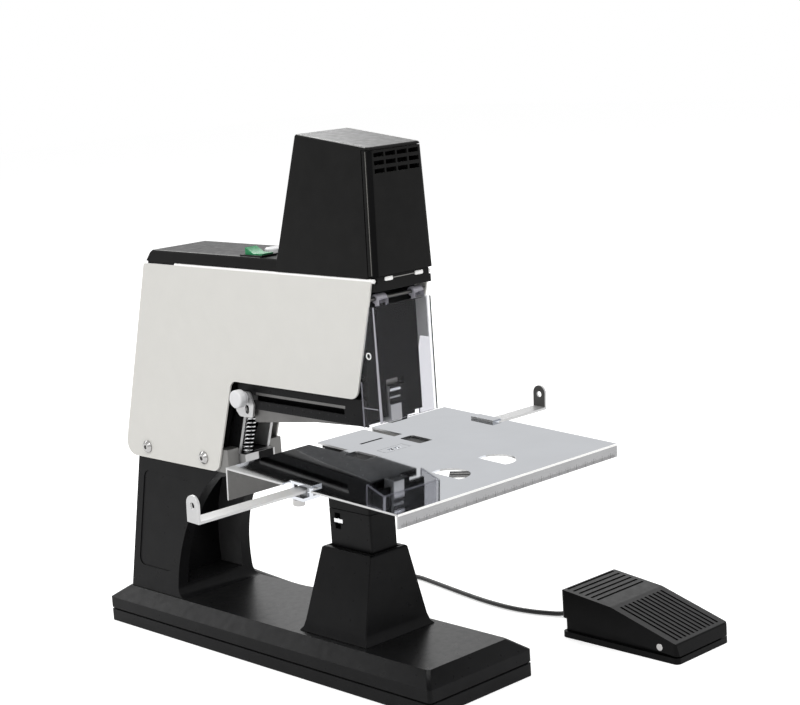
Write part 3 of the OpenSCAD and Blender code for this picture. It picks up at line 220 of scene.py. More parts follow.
def clear_sheet(name, rgb):
    """Clear moulded plastic with faint waves and handling haze."""
    s = Shader(name)
    s.put(Transmission_Weight=0.993, IOR=1.13)
    s.tone(s.noise(18.0), shade(rgb, 0.985), rgb)
    s.rough(s.noise(70.0), 0.012, 0.035)
    s.bump(s.noise(24.0, 1.0), 0.03, 0.00005)
    return s.mat


def lens_plastic(name, rgb):
    """Tinted plastic that light gets into."""
    s = Shader(name)
    s.put(IOR=1.3, Transmission_Weight=0.25)
    s.tone(s.noise(220.0), shade(rgb, 0.8), shade(rgb, 1.2))
    s.rough(s.noise(300.0), 0.24, 0.36)
    s.bump(s.noise(900.0, 1.0), 0.1, 0.00003)
    return s.mat


FINISHES = {}


def make_finishes(look):
    """One material for each slot of the record, then the finishes of single faces and fine trim, many of
    them painted highlight and painted shade.
    """
    FINISHES.update({
        "black_paint": coated("satin_black_paint", look.paint, (0.27, 0.38), 1.16, 1500.0, 0.00005,
                              sheen=0.05),
        "black_plastic": coated("moulded_black", look.plastic, (0.28, 0.40), 1.17, 1100.0, 0.00006,
                                sheen=0.05),
        "pedal_black": coated("pedal_black", look.pedal, (0.30, 0.44), 1.15, 900.0, 0.0001),
        "panel_paint": coated("panel_white", look.panel, (0.42, 0.52), 1.42, 1400.0, 0.00003, 0.012),
        "mirror_steel": plated("mirror_sheet", look.mirror, (0.035, 0.07), (6, 160, 160), 6.0, 0.000004,
                               0.02, 0.85),
        "bright_steel": plated("chromed_steel", look.bright, (0.12, 0.22), (60, 60, 60), 8.0, 0.00001),
        "plain_steel": plated("zinc_plate", look.zinc, (0.34, 0.5), (90, 90, 90), 12.0, 0.00004, 0.12),
        "copper": plated("copper_wire", look.copper, (0.25, 0.4), (4, 4, 400), 6.0, 0.0002, 0.15),
        "brass": plated("brass_block", look.brass, (0.22, 0.35), (12, 160, 160), 6.0, 0.00002),
        "white_plastic": coated("white_knob", look.knob, (0.3, 0.42), 1.46, 1300.0, 0.00003, 0.012),
        "green_plastic": lens_plastic("green_lens", look.green),
        "clear_plastic": clear_sheet("clear_guard", look.clear),
        "rubber": coated("black_rubber", look.rubber, (0.6, 0.78), 1.45, 1300.0, 0.00008),
        "cord_sheath": coated("lead_sheath", look.sheath, (0.42, 0.56), 1.45, 1600.0, 0.00004),
    })
    # finishes of single faces and trim; several are painted highlight or painted shade
    FINISHES.update({
        "engraving": coated("engraved_black", (0.012, 0.012, 0.013), (0.6, 0.75), 1.3, 1500.0, 0.00002),
        "print": coated("printed_white", (0.55, 0.55, 0.54), (0.5, 0.62), 1.45, 1500.0, 0.00002, 0.03),
        # painted highlight: light grey for the lit edges at the tower's front seams
        "painted_edge_highlight": coated("painted_edge_highlight", (0.15, 0.145, 0.135), (0.3, 0.42), 1.4, 1300.0, 0.00003, 0.25),
        # white for the hinge tabs, and painted highlight for the panels' upper bead, the lip's top edge and
        # the guard's hole
        "white_and_painted_highlight": coated("white_and_painted_highlight", (0.95, 0.945, 0.93), (0.35, 0.45), 1.45, 1400.0, 0.00002, 0.01),
        # painted highlight: light grey lines along the lit left edges of the roof and the deck
        "rim_painted_highlight": coated("rim_painted_highlight", (0.36, 0.36, 0.35), (0.4, 0.5), 1.3, 1400.0, 0.00002, 0.04),
        # painted light: a lighter copy of the black paint for the column's shaded inner wall
        "column_painted_light": coated("column_wall_painted_light", (0.06, 0.06, 0.061), (0.34, 0.44), 1.2, 1500.0, 0.00005),
        # painted sheen: the same paint with stronger gloss for the base's top faces
        "base_top": coated("base_top_paint", look.paint, (0.27, 0.38), 1.3, 1500.0, 0.00005),
        # lit and shaded copies of the plastic: stronger gloss on the tower's roof as painted sheen, weaker
        # gloss on the deck as painted shade
        "roof_painted_sheen": coated("roof_painted_sheen", look.plastic, (0.28, 0.40), 1.45, 1100.0, 0.00006),
        "deck_painted_shade": coated("deck_painted_shade", look.plastic, (0.28, 0.40), 1.12, 1100.0, 0.00006),
        # painted shade: darker black for the front plate behind the guard and the front cover's side
        # margins
        "painted_shade_black": coated("front_painted_shade_black", (0.0035, 0.0035, 0.0037), (0.3, 0.42), 1.12, 1400.0,
                              0.00004),
        # painted sheen: the same pedal black with stronger gloss for its top faces
        "pedal_painted_sheen": coated("pedal_painted_sheen", look.pedal, (0.30, 0.44), 1.36, 900.0, 0.0001),
        # cut edges of the guard, and painted highlight for its lit corner and lugs
        "guard_cut_edge_and_highlight": coated("guard_cut_edge_and_highlight", look.guard_cut_edge_and_highlight, (0.2, 0.32), 1.4, 1500.0, 0.00002, 0.06),
        "guard_shade": coated("guard_shade", (0.02, 0.03, 0.027), (0.2, 0.3), 1.3, 1400.0, 0.00002),
        # painted shade: a darker copy of the clear guard for its right walls
        "clear_painted_shade": clear_sheet("clear_guard_painted_shade", shade(look.clear, 0.76)),
        "zinc_bright": plated("zinc_bright", (0.50, 0.50, 0.50), (0.30, 0.44), (60, 60, 60), 9.0, 0.00003,
                              metal=0.7),
        "screw_steel": plated("screw_steel", (0.38, 0.375, 0.37), (0.12, 0.2), (60, 60, 60), 8.0, 0.00001),
        "feet_steel": plated("feet_steel", (0.17, 0.168, 0.163), (0.34, 0.5), (90, 90, 90), 12.0, 0.00004,
                             0.12, metal=0.8),
        "lip_metal_and_shade": plated("brushed_shaded_lip", look.lip, (0.24, 0.36), (4, 200, 200), 7.0, 0.00002, 0.05),
        # dull steel for small marks and the rod, and painted shade for the table's flanges and the gauge
        # rail
        "dark_and_shaded_steel": plated("dull_and_shaded_steel", look.shade, (0.36, 0.5), (60, 60, 60), 10.0, 0.00003, 0.12),
    })


SLOT_OF = {part["node"]: part["material_slot"] for part in frame["record"]["subparts"]}
BODY_OF = {node: body for body, members in frame["record"]["behaviour"]["bodies"].items()
           for node in members}


# ---------------------------------------------------------------- making pieces


SMOOTH_ANGLE = math.radians(38.0)  # below it, neighbouring faces shade as one surface
EDGE_ANGLE = math.radians(35.0)    # above it, an edge is sharp and gets rounded
FLAT_ANGLE = math.radians(0.5)     # below it, neighbouring faces are one flat face
MERGE_GAP = 3e-6                   # metres between points that are merged


def smooth(mesh):
    mesh.shade_smooth()
    mesh.set_sharp_from_angle(angle=SMOOTH_ANGLE)


def piece(name, mesh, body, slot, finish=None, nodes=()):
    """Link a mesh as a finished piece that rides on a body."""
    obj = bpy.data.objects.new(name, mesh)
    bpy.context.scene.collection.objects.link(obj)
    mesh.materials.clear()
    mesh.materials.append(FINISHES[finish or slot])
    for face in mesh.polygons:
        face.material_index = 0
    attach(obj, body)
    if nodes:
        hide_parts(*nodes)
    return obj


def baked(obj):
    """Plain mesh of an object with its modifiers; the object is removed."""
    graph = bpy.context.evaluated_depsgraph_get()
    mesh = bpy.data.meshes.new_from_object(obj.evaluated_get(graph))
    bpy.data.objects.remove(obj)
    return mesh


def merged(node):
    """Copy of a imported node's mesh, merged and with its flat faces whole."""
    mesh = frame["nodes"][node].data.copy()
    bm = bmesh.new()
    bm.from_mesh(mesh)
    bmesh.ops.remove_doubles(bm, verts=bm.verts, dist=MERGE_GAP)
    bmesh.ops.dissolve_limit(bm, angle_limit=FLAT_ANGLE, verts=bm.verts, edges=bm.edges)
    bm.to_mesh(mesh)
    bm.free()
    return mesh


def edged(node, width, steps, finish=None):
    """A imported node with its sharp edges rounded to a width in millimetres."""
    obj = bpy.data.objects.new("edging", merged(node))
    bpy.context.scene.collection.objects.link(obj)
    bevel = obj.modifiers.new("edge", "BEVEL")
    bevel.width = width * MM
    bevel.segments = steps
    bevel.limit_method = "ANGLE"
    bevel.angle_limit = EDGE_ANGLE
    bevel.use_clamp_overlap = True
    obj.modifiers.new("flat", "WEIGHTED_NORMAL").keep_sharp = True
    obj.data.shade_smooth()
    return piece(node + "_edged", baked(obj), BODY_OF[node], SLOT_OF[node], finish, (node,))


def edge_all(table):
    """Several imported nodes, each with its width, steps and finish, by name."""
    return {node: edged(node, *values) for node, values in table.items()}


def dress(obj, finish, test):
    """Another finish on the faces whose centre and normal pass a test."""
    obj.data.materials.append(FINISHES[finish])
    slot = len(obj.data.materials) - 1
    for face in obj.data.polygons:
        if test(face.center, face.normal):
            face.material_index = slot


def lathe(profile, place, steps):
    """Closed solid turned about Z from (radius, height) points in millimetres, then placed."""
    bm = bmesh.new()
    rings = []
    for r, h in ((a * MM, b * MM) for a, b in profile):
        if r == 0.0:
            rings.append([bm.verts.new((0.0, 0.0, h))])
        else:
            rings.append([bm.verts.new((r * math.cos(2 * math.pi * i / steps),
                                        r * math.sin(2 * math.pi * i / steps), h))
                          for i in range(steps)])
    for a, b in zip(rings, rings[1:]):
        for i in range(steps):
            j = (i + 1) % steps
            quad = [a[i % len(a)], a[j % len(a)], b[j % len(b)], b[i % len(b)]]
            bm.faces.new(list(dict.fromkeys(quad)))
    bmesh.ops.remove_doubles(bm, verts=bm.verts, dist=MERGE_GAP)
    bmesh.ops.recalc_face_normals(bm, faces=bm.faces)
    mesh = bpy.data.meshes.new("turned")
    bm.to_mesh(mesh)
    bm.free()
    mesh.transform(place)
    smooth(mesh)
    return mesh


def slab(low, high, r, steps=1):
    """Block with rounded edges between two corners, in millimetres."""
    bm = bmesh.new()
    bmesh.ops.create_cube(bm, size=1.0)
    size = [b - a for a, b in zip(low, high)]
    mid = [(a + b) / 2 for a, b in zip(low, high)]
    bmesh.ops.scale(bm, vec=[s * MM for s in size], verts=bm.verts)
    bmesh.ops.translate(bm, vec=[m * MM for m in mid], verts=bm.verts)
    bmesh.ops.bevel(bm, geom=bm.edges, offset=r * MM, segments=steps, affect="EDGES", profile=0.5)
    mesh = bpy.data.meshes.new("slab")
    bm.to_mesh(mesh)
    bm.free()
    smooth(mesh)
    return mesh


def prism(top, high, low, foot):
    """Closed solid between a four-sided outline at one height and another below, in millimetres."""
    bm = bmesh.new()
    a = [bm.verts.new((x * MM, y * MM, high * MM)) for x, y in top]
    b = [bm.verts.new((x * MM, y * MM, foot * MM)) for x, y in low]
    bm.faces.new(a)
    bm.faces.new(b)
    for i in range(4):
        j = (i + 1) % 4
        bm.faces.new((a[i], a[j], b[j], b[i]))
    bmesh.ops.recalc_face_normals(bm, faces=bm.faces)
    mesh = bpy.data.meshes.new("prism")
    bm.to_mesh(mesh)
    bm.free()
    return mesh


def oblong(x, y, wide, deep):
    """Outline of an oblong, round from one corner."""
    return [(x, y), (x + wide, y), (x + wide, y + deep), (x, y + deep)]


def placed(mesh, place):
    mesh.transform(place)
    return mesh


def joined(*meshes):
    """One mesh of several closed ones."""
    bm = bmesh.new()
    for mesh in meshes:
        bm.from_mesh(mesh)
    out = bpy.data.meshes.new("joined")
    bm.to_mesh(out)
    bm.free()
    smooth(out)
    return out


# ---------------------------------------------------------------- geometry nodes


def new_tree(name, inputs):
    """Empty tree with named inputs and one geometry output."""
    tree = bpy.data.node_groups.new(name, "GeometryNodeTree")
    kinds = {"int": "NodeSocketInt", "float": "NodeSocketFloat", "vector": "NodeSocketVector",
             "material": "NodeSocketMaterial"}
    for label, kind in inputs.items():
        tree.interface.new_socket(label, in_out="INPUT", socket_type=kinds[kind])
    tree.interface.new_socket("Geometry", in_out="OUTPUT", socket_type="NodeSocketGeometry")
    return tree


def finish_tree(tree, geometry, start):
    """Realize Instances, Set Material, output."""
    real = tree.nodes.new("GeometryNodeRealizeInstances")
    coat = tree.nodes.new("GeometryNodeSetMaterial")
    out = tree.nodes.new("NodeGroupOutput")
    tree.links.new(geometry, real.inputs[0])
    tree.links.new(real.outputs[0], coat.inputs["Geometry"])
    tree.links.new(start.outputs["Material"], coat.inputs["Material"])
    tree.links.new(coat.outputs[0], out.inputs[0])
    return tree


def row_tree():
    """A row of small blocks along a line."""
    tree = new_tree("block_row", {"Count": "int", "Start": "vector", "Step": "vector",
                                  "Size": "vector", "Material": "material"})
    start = tree.nodes.new("NodeGroupInput")
    line = tree.nodes.new("GeometryNodeMeshLine")
    line.mode = "OFFSET"
    cube = tree.nodes.new("GeometryNodeMeshCube")
    put = tree.nodes.new("GeometryNodeInstanceOnPoints")
    tree.links.new(start.outputs["Count"], line.inputs["Count"])
    tree.links.new(start.outputs["Start"], line.inputs["Start Location"])
    tree.links.new(start.outputs["Step"], line.inputs["Offset"])
    tree.links.new(start.outputs["Size"], cube.inputs["Size"])
    tree.links.new(line.outputs[0], put.inputs["Points"])
    tree.links.new(cube.outputs["Mesh"], put.inputs["Instance"])
    return finish_tree(tree, put.outputs[0], start)


def ring_tree():
    """Blocks set round a circle in XY, each turned outward."""
    tree = new_tree("block_ring", {"Count": "int", "Radius": "float", "Size": "vector",
                                   "Material": "material"})
    start = tree.nodes.new("NodeGroupInput")
    ring = tree.nodes.new("GeometryNodeMeshCircle")
    cube = tree.nodes.new("GeometryNodeMeshCube")
    place = tree.nodes.new("GeometryNodeInputPosition")
    turn = tree.nodes.new("FunctionNodeAlignRotationToVector")
    turn.axis = "X"
    put = tree.nodes.new("GeometryNodeInstanceOnPoints")
    tree.links.new(start.outputs["Count"], ring.inputs["Vertices"])
    tree.links.new(start.outputs["Radius"], ring.inputs["Radius"])
    tree.links.new(start.outputs["Size"], cube.inputs["Size"])
    tree.links.new(place.outputs[0], turn.inputs["Vector"])
    tree.links.new(ring.outputs[0], put.inputs["Points"])
    tree.links.new(cube.outputs["Mesh"], put.inputs["Instance"])
    tree.links.new(turn.outputs[0], put.inputs["Rotation"])
    return finish_tree(tree, put.outputs[0], start)


def coil_tree():
    """Round wire wound into a helix along Z."""
    tree = new_tree("wire_coil", {"Turns": "float", "Radius": "float", "Height": "float",
                                  "Wire": "float", "Steps": "int", "Material": "material"})
    start = tree.nodes.new("NodeGroupInput")
    spiral = tree.nodes.new("GeometryNodeCurveSpiral")
    wire = tree.nodes.new("GeometryNodeCurvePrimitiveCircle")
    wire.inputs["Resolution"].default_value = 10
    sweep = tree.nodes.new("GeometryNodeCurveToMesh")
    sweep.inputs["Fill Caps"].default_value = True
    tree.links.new(start.outputs["Steps"], spiral.inputs["Resolution"])
    tree.links.new(start.outputs["Turns"], spiral.inputs["Rotations"])
    tree.links.new(start.outputs["Radius"], spiral.inputs["Start Radius"])
    tree.links.new(start.outputs["Radius"], spiral.inputs["End Radius"])
    tree.links.new(start.outputs["Height"], spiral.inputs["Height"])
    tree.links.new(start.outputs["Wire"], wire.inputs["Radius"])
    tree.links.new(spiral.outputs[0], sweep.inputs["Curve"])
    tree.links.new(wire.outputs[0], sweep.inputs["Profile Curve"])
    return finish_tree(tree, sweep.outputs[0], start)


TREES = {}


def grown(kind, place=None, **values):
    """Plain mesh from one of the trees, with its inputs set by identifier."""
    if kind not in TREES:
        TREES[kind] = {"row": row_tree, "ring": ring_tree, "coil": coil_tree}[kind]()
    tree = TREES[kind]
    obj = bpy.data.objects.new("growing", bpy.data.meshes.new("growing"))
    bpy.context.scene.collection.objects.link(obj)
    modifier = obj.modifiers.new("grow", "NODES")
    modifier.node_group = tree
    ids = {s.name: s.identifier for s in tree.interface.items_tree if s.in_out == "INPUT"}
    for label, value in values.items():
        modifier[ids[label]] = value
    mesh = baked(obj)
    if place is not None:
        mesh.transform(place)
    smooth(mesh)
    return mesh


def at(x, y, z):
    """Shift in millimetres."""
    return Matrix.Translation((x * MM, y * MM, z * MM))


TO_LEFT = Matrix.Rotation(-math.pi / 2, 4, "Y")  # turns Z to the stapler's left
TABLE_TILT = math.radians(2.75)
IN_TABLE = at(0, -78, 186.3) @ Matrix.Rotation(TABLE_TILT, 4, "X") @ at(0, -166.7, 0)


# ---------------------------------------------------------------- operators


VIEW_ANGLES = tuple(math.radians(a) for a in (-43.67, 10.48, -3.88))  # azimuth, elevation, roll
VIEW_PLACE = (-0.96951, -1.14959, 0.52064)
VIEW_LENS, VIEW_SENSOR = 84.6, 36.0


class STAPLER_OT_camera(bpy.types.Operator):
    """Camera at the photograph's viewing angle"""

    bl_idname = "stapler.camera"
    bl_label = "Camera"

    def execute(self, context):
        azimuth, elevation, roll = VIEW_ANGLES
        right = Vector((math.cos(azimuth), math.sin(azimuth), 0.0))
        back = Vector((math.sin(azimuth) * math.cos(elevation),
                       -math.cos(azimuth) * math.cos(elevation), math.sin(elevation)))
        up = back.cross(right)
        x = math.cos(roll) * right + math.sin(roll) * up
        y = -math.sin(roll) * right + math.cos(roll) * up
        data = bpy.data.cameras.new("view")
        data.sensor_fit = "HORIZONTAL"
        data.sensor_width = VIEW_SENSOR
        data.lens = VIEW_LENS
        data.clip_start, data.clip_end = 0.05, 50.0
        camera = bpy.data.objects.new("view", data)
        turn = Matrix((x, y, back)).transposed().to_4x4()
        camera.matrix_world = Matrix.Translation(VIEW_PLACE) @ turn
        context.scene.collection.objects.link(camera)
        context.scene.camera = camera
        return {"FINISHED"}


PLUG_END = (20.0, 213.5, 82.3)
LEAD_OUT = [PLUG_END, (20, 218.5, 82.3), (20.3, 229.5, 80.3), (20.8, 240.5, 73.3), (21.4, 247.5, 61.3),
            (22, 249.5, 44.3), (22.8, 250.5, 27.3), (24.5, 252.5, 13.3), (29, 257.5, 4.6),
            (37, 263.5, 2.2), (48, 266.15, 2), (62, 266.75, 2.1), (70, 266.75, 2.8), (74, 266.75, 3.2),
            (78, 266.75, 3.2)]
LEAD_BACK = [(109.625, 234, 7.8), (109.625, 230, 7.8), (109.425, 220, 5.6), (108.625, 208, 2.6),
             (106.625, 190, 2), (103, 160, 2), (100, 132, 2), (101, 110, 2), (108, 93, 2), (123, 84, 2),
             (145, 82, 2), (165, 79, 2), (177, 69, 2), (181.5, 52, 2), (178.5, 30, 2), (174, 5, 2),
             (169.6, -20, 2), (166, -44, 2), (164.3, -66, 2), (164.6, -84, 2), (167.2, -100, 2),
             (171.2, -113, 2), (176, -125, 2.3), (178.4, -136, 5), (179, -142, 7), (179, -146, 8),
             (179, -150, 8)]
COIL_X, COIL_Y, COIL_Z, COIL_RISE = 82.0, 238.0, 3.2, 4.6
COIL_R, COIL_PITCH = 28.75, 4.5
COIL_CLIMB, COIL_CLIMB_SPAN = 1080.0, 180.0  # degrees wound when the lead climbs on its lower turns
COIL_MID, COIL_END = 1170.0, 2250.0          # degrees wound when it turns outward again, and at its end
COIL_STEPS, LEAD_STEPS = 300, 6


def coil_point(a):
    """Point of the coil after a degrees: inward along the floor, then outward on top."""
    r = COIL_R - COIL_PITCH * (a if a < COIL_MID else 2 * COIL_MID - a) / 360
    s = min(1.0, max(0.0, (a - COIL_CLIMB) / COIL_CLIMB_SPAN))
    t = math.radians(90 - a)
    return Vector((COIL_X + r * math.cos(t), COIL_Y + r * math.sin(t),
                   COIL_Z + COIL_RISE * s * s * (3 - 2 * s)))


def curved(points, k):
    """Points of the smooth curve through a list of points."""
    p = [Vector(q) for q in points]
    out = []
    for i in range(len(p) - 1):
        a, b, c, d = p[max(i - 1, 0)], p[i], p[i + 1], p[min(i + 2, len(p) - 1)]
        for j in range(k):
            s = j / k
            out.append(0.5 * ((2 * b) + (c - a) * s + (2 * a - 5 * b + 4 * c - d) * s * s
                              + (3 * b - a - 3 * c + d) * s ** 3))
    return out + [p[-1]]


class STAPLER_OT_lead(bpy.types.Operator):
    """Lead of the foot pedal, with its coil, plug, tie and gland"""

    bl_idname = "stapler.lead"
    bl_label = "Pedal lead"

    def execute(self, context):
        sizes = context.scene.stapler_sizes
        turns = [coil_point(COIL_END * i / COIL_STEPS) for i in range(COIL_STEPS + 1)]
        route = curved(LEAD_OUT, LEAD_STEPS) + turns + curved(LEAD_BACK, LEAD_STEPS)
        points = [q * MM for q in route]
        data = bpy.data.curves.new("pedal_lead", "CURVE")
        data.dimensions = "3D"
        data.bevel_depth = sizes.lead_d / 2
        data.bevel_resolution = 3
        data.use_fill_caps = True
        line = data.splines.new("POLY")
        line.points.add(len(points) - 1)
        for dot, q in zip(line.points, points):
            dot.co = (*q, 1.0)
        line.use_smooth = True
        data.materials.append(FINISHES["cord_sheath"])
        lead = bpy.data.objects.new("pedal_lead", data)
        context.scene.collection.objects.link(lead)
        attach(lead, "body")
        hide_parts("lead_machine", "cord_coil", "lead_pedal")
        ends = edge_all({"pedal_plug": (0.5, 2), "pedal_gland": (0.4, 2), "coil_tie": (0.25, 2)})
        ribs = grown("ring", at(20, 190.5, 82.3) @ Matrix.Rotation(math.pi / 2, 4, "X"), Count=20,
                     Radius=5.5 * MM, Size=(0.5 * MM, 0.9 * MM, 12 * MM), Material=FINISHES["rubber"])
        grip = piece("plug_grip", ribs, "body", "rubber")
        return {"FINISHED"}


class STAPLER_OT_housing(bpy.types.Operator):
    """Base, column, pedestal and post"""

    bl_idname = "stapler.housing"
    bl_label = "Base and column"

    def execute(self, context):
        parts = edge_all({"base_tray": (1.0, 3), "base_shell": (1.2, 3), "column": (1.0, 3),
                          "pedestal": (0.8, 3), "anvil_post": (0.3, 2), "anvil_head": (0.3, 2),
                          "post_screw": (0.3, 2), "base_feet": (0.8, 2), "power_inlet": (0.3, 2),
                          "pedal_socket": (0.3, 2)})
        # painted sheen on the base's top faces
        dress(parts["base_shell"], "base_top", lambda c, n: n.z > 0.97)
        # painted light on the inner right wall inside the column's arch, lightened against its shade
        dress(parts["column"], "column_painted_light", lambda c, n: n.x < -0.7 and c.x > 5 * MM)
        return {"FINISHED"}


LIP_BACK, SHEET_UNDER = 0.4 * MM, -0.9 * MM      # limits of the lip and the sheet in the table's frame
RULER_LENGTH, RULER_FOOT = 230.0, -10.2
RULER_TICKS = ((1, 2.2), (5, 3.2), (10, 4.2))    # every how many ticks, and their height
CATCH_STRIPS = (("catch_steel", "dark_and_shaded_steel", (-5.6, 1.6)), ("catch_black", "engraving", (-2.0, 5.2)))


class STAPLER_OT_table(bpy.types.Operator):
    """Table with its ruler, clincher, clamps and side guides"""

    bl_idname = "stapler.table"
    bl_label = "Table"

    def execute(self, context):
        sizes = context.scene.stapler_sizes
        parts = edge_all({"table": (0.3, 2), "clincher": (0.15, 2), "table_bracket": (0.3, 2),
                          "guide_clamps": (0.25, 2), "clamp_screws": (0.4, 2, "screw_steel"),
                          "guide_left": (0.25, 2, "zinc_bright"), "guide_right": (0.25, 2, "zinc_bright")})
        flat = IN_TABLE.inverted()
        # painted shade: the lip's faces in a darker brushed steel
        dress(parts["table"], "lip_metal_and_shade",
              lambda c, n: (flat @ c).y < LIP_BACK and (flat @ c).z < SHEET_UNDER)
        # painted shade: the sheet's flanges under the lip drawn in dark steel
        dress(parts["table"], "dark_and_shaded_steel",
              lambda c, n: (flat @ c).y > LIP_BACK and (flat @ c).z < SHEET_UNDER and abs(n.x) < 0.3
              and (abs(n.y) > 0.97 or n.z < -0.97))
        # painted highlight: the table's left-facing edge faces in brighter zinc
        dress(parts["table"], "zinc_bright", lambda c, n: n.x < -0.3)
        dress(parts["guide_right"], "dark_and_shaded_steel", lambda c, n: n.x < -0.9)
        dress(parts["guide_clamps"], "zinc_bright", lambda c, n: n.x < -0.8 and c.x > 0)
        # painted highlight: white strip along the lit top edge of the table's lip
        rim = placed(slab((-117.9, -0.15, -1.6), (117.9, 0.3, 0.05), 0.1), IN_TABLE)
        piece("lip_highlight_strip", rim, "body", "mirror_steel", "white_and_painted_highlight")
        hole = IN_TABLE @ at(-18.3, 36.5, 0) @ Matrix.Rotation(math.radians(-49), 4, "Z")
        for name, finish, starts in CATCH_STRIPS:
            strips = [placed(slab((-8.0, y, -1.4), (8.0, y + 3.2, -0.5), 0.2), hole) for y in starts]
            piece(name, joined(*strips), "body", "plain_steel", finish)
        marks = []
        for step, height in RULER_TICKS:
            pitch = step * sizes.tick_pitch
            count = int(RULER_LENGTH / (pitch / MM))
            marks.append(grown("row", IN_TABLE, Count=count + 1,
                               Start=(-count * pitch / 2, -0.02 * MM, (RULER_FOOT + height / 2) * MM),
                               Step=(pitch, 0.0, 0.0), Size=(sizes.tick_w, 0.08 * MM, height * MM),
                               Material=FINISHES["dark_and_shaded_steel"]))
        piece("lip_ruler", joined(*marks), "body", "mirror_steel", "dark_and_shaded_steel")
        return {"FINISHED"}


PANEL_BEAD = 318.3 * MM  # height from which a panel's upper bead gets a painted highlight


class STAPLER_OT_panels(bpy.types.Operator):
    """White side panels, their screws and the frame between them"""

    bl_idname = "stapler.panels"
    bl_label = "Side panels"

    def execute(self, context):
        parts = edge_all({"side_panel_left": (0.35, 2), "side_panel_right": (0.35, 2),
                          "panel_screws": (0.3, 2, "screw_steel"), "frame": (0.3, 2, "zinc_bright"),
                          "frame_feet": (0.5, 2, "feet_steel"), "pivot_shaft": (0.4, 2)})
        for side in ("left", "right"):
            # painted highlight: the panels' upper bead, lit from above, drawn brighter than the panel
            dress(parts["side_panel_" + side], "white_and_painted_highlight", lambda c, n: c.z > PANEL_BEAD)
        # painted shade: the rear-facing halves of the screw heads in dark steel
        dress(parts["panel_screws"], "dark_and_shaded_steel", lambda c, n: n.y > 0.15 and abs(n.x) < 0.95)
        # painted shade: the frame's outer plates and rear part drawn black
        dress(parts["frame"], "black_paint", lambda c, n: abs(c.x) > 16.9 * MM or c.y > 52 * MM)
        patch = slab((-1.6, 42.6, 150.4), (13.8, 42.95, 161.8), 0.1)
        piece("bridge_shade", patch, "body", "black_paint")
        return {"FINISHED"}


ROOF_LOW, DECK_HIGH = 415 * MM, 333 * MM  # heights that part the tower's roof from the deck
ROOF_SLOPE = at(0, -64.8, 428.6) @ Matrix.Rotation(math.radians(7.25), 4, "X")


class STAPLER_OT_cover(bpy.types.Operator):
    """Black cover with its tower, vented front, hinge strip and rear cover"""

    bl_idname = "stapler.cover"
    bl_label = "Cover"

    def execute(self, context):
        # the front plate gets painted shade, darker than the other black parts
        parts = edge_all({"head_cover": (0.5, 2), "front_cover": (0.35, 2), "hinge_strip": (0.5, 2),
                          "rear_cover": (0.4, 2), "head_front_plate": (0.25, 2, "painted_shade_black")})
        # painted sheen on the roof and painted shade on the deck: the same plastic with stronger and weaker
        # gloss
        dress(parts["head_cover"], "roof_painted_sheen", lambda c, n: n.z > 0.9 and c.z > ROOF_LOW)
        dress(parts["head_cover"], "deck_painted_shade", lambda c, n: n.z > 0.95 and c.z < DECK_HIGH)
        seal = slab((-27.1, -139.4, 415.8), (27.1, -137.0, 418.4), 0.2)
        piece("roof_seal", seal, "body", "black_plastic")
        # painted shade on the front cover's side margins and rounded corners
        dress(parts["front_cover"], "painted_shade_black",
              lambda c, n: abs(c.x) > 24 * MM and abs(n.x) > 0.15 and n.y < -0.15)
        # painted highlight: thin light strips for the light caught along the tower's front seams
        lines = [prism(oblong(s * 27.3, -140.2, s * 0.35, 0.6), 416,
                       oblong(s * 30.4, -141.8, s * 0.35, 0.6), 324.5) for s in (-1, 1)]
        piece("tower_lines", joined(*lines), "body", "black_plastic", "painted_edge_highlight")
        # painted highlight: thin light strips along the left edges of the roof and the deck
        rims = [placed(slab((x, -75.5, -0.35), (x + 0.65, 0, 0.15), 0.1), ROOF_SLOPE)
                for x in (-26.95, 26.3)]
        rims += [slab((x, -11.0, 331.1), (x + 0.6, 128.5, 331.6), 0.1) for x in (-28.1, 27.5)]
        piece("roof_edge_highlights", joined(*rims), "body", "black_plastic", "rim_painted_highlight")
        tabs = [slab((a, -144.4, 319.4), (b, -143.2, 322.5), 1.0, 4) for a, b in ((-20, -11.7), (11.7, 20))]
        piece("hinge_tabs", joined(*tabs), "body", "white_plastic", "white_and_painted_highlight")
        line = slab((-11.7, -143.8, 320.6), (11.7, -143.3, 321.3), 0.2, 2)
        piece("hinge_line", line, "body", "plain_steel")
        seal = [slab((-29.0, 96, 318), (-27.0, 136, 322.6), 0.2),
                slab((27.0, 96, 318), (29.0, 136, 322.6), 0.2),
                slab((-29.0, 134, 318), (29.0, 136, 322.6), 0.2)]
        piece("deck_seal", joined(*seal), "body", "black_plastic")
        return {"FINISHED"}


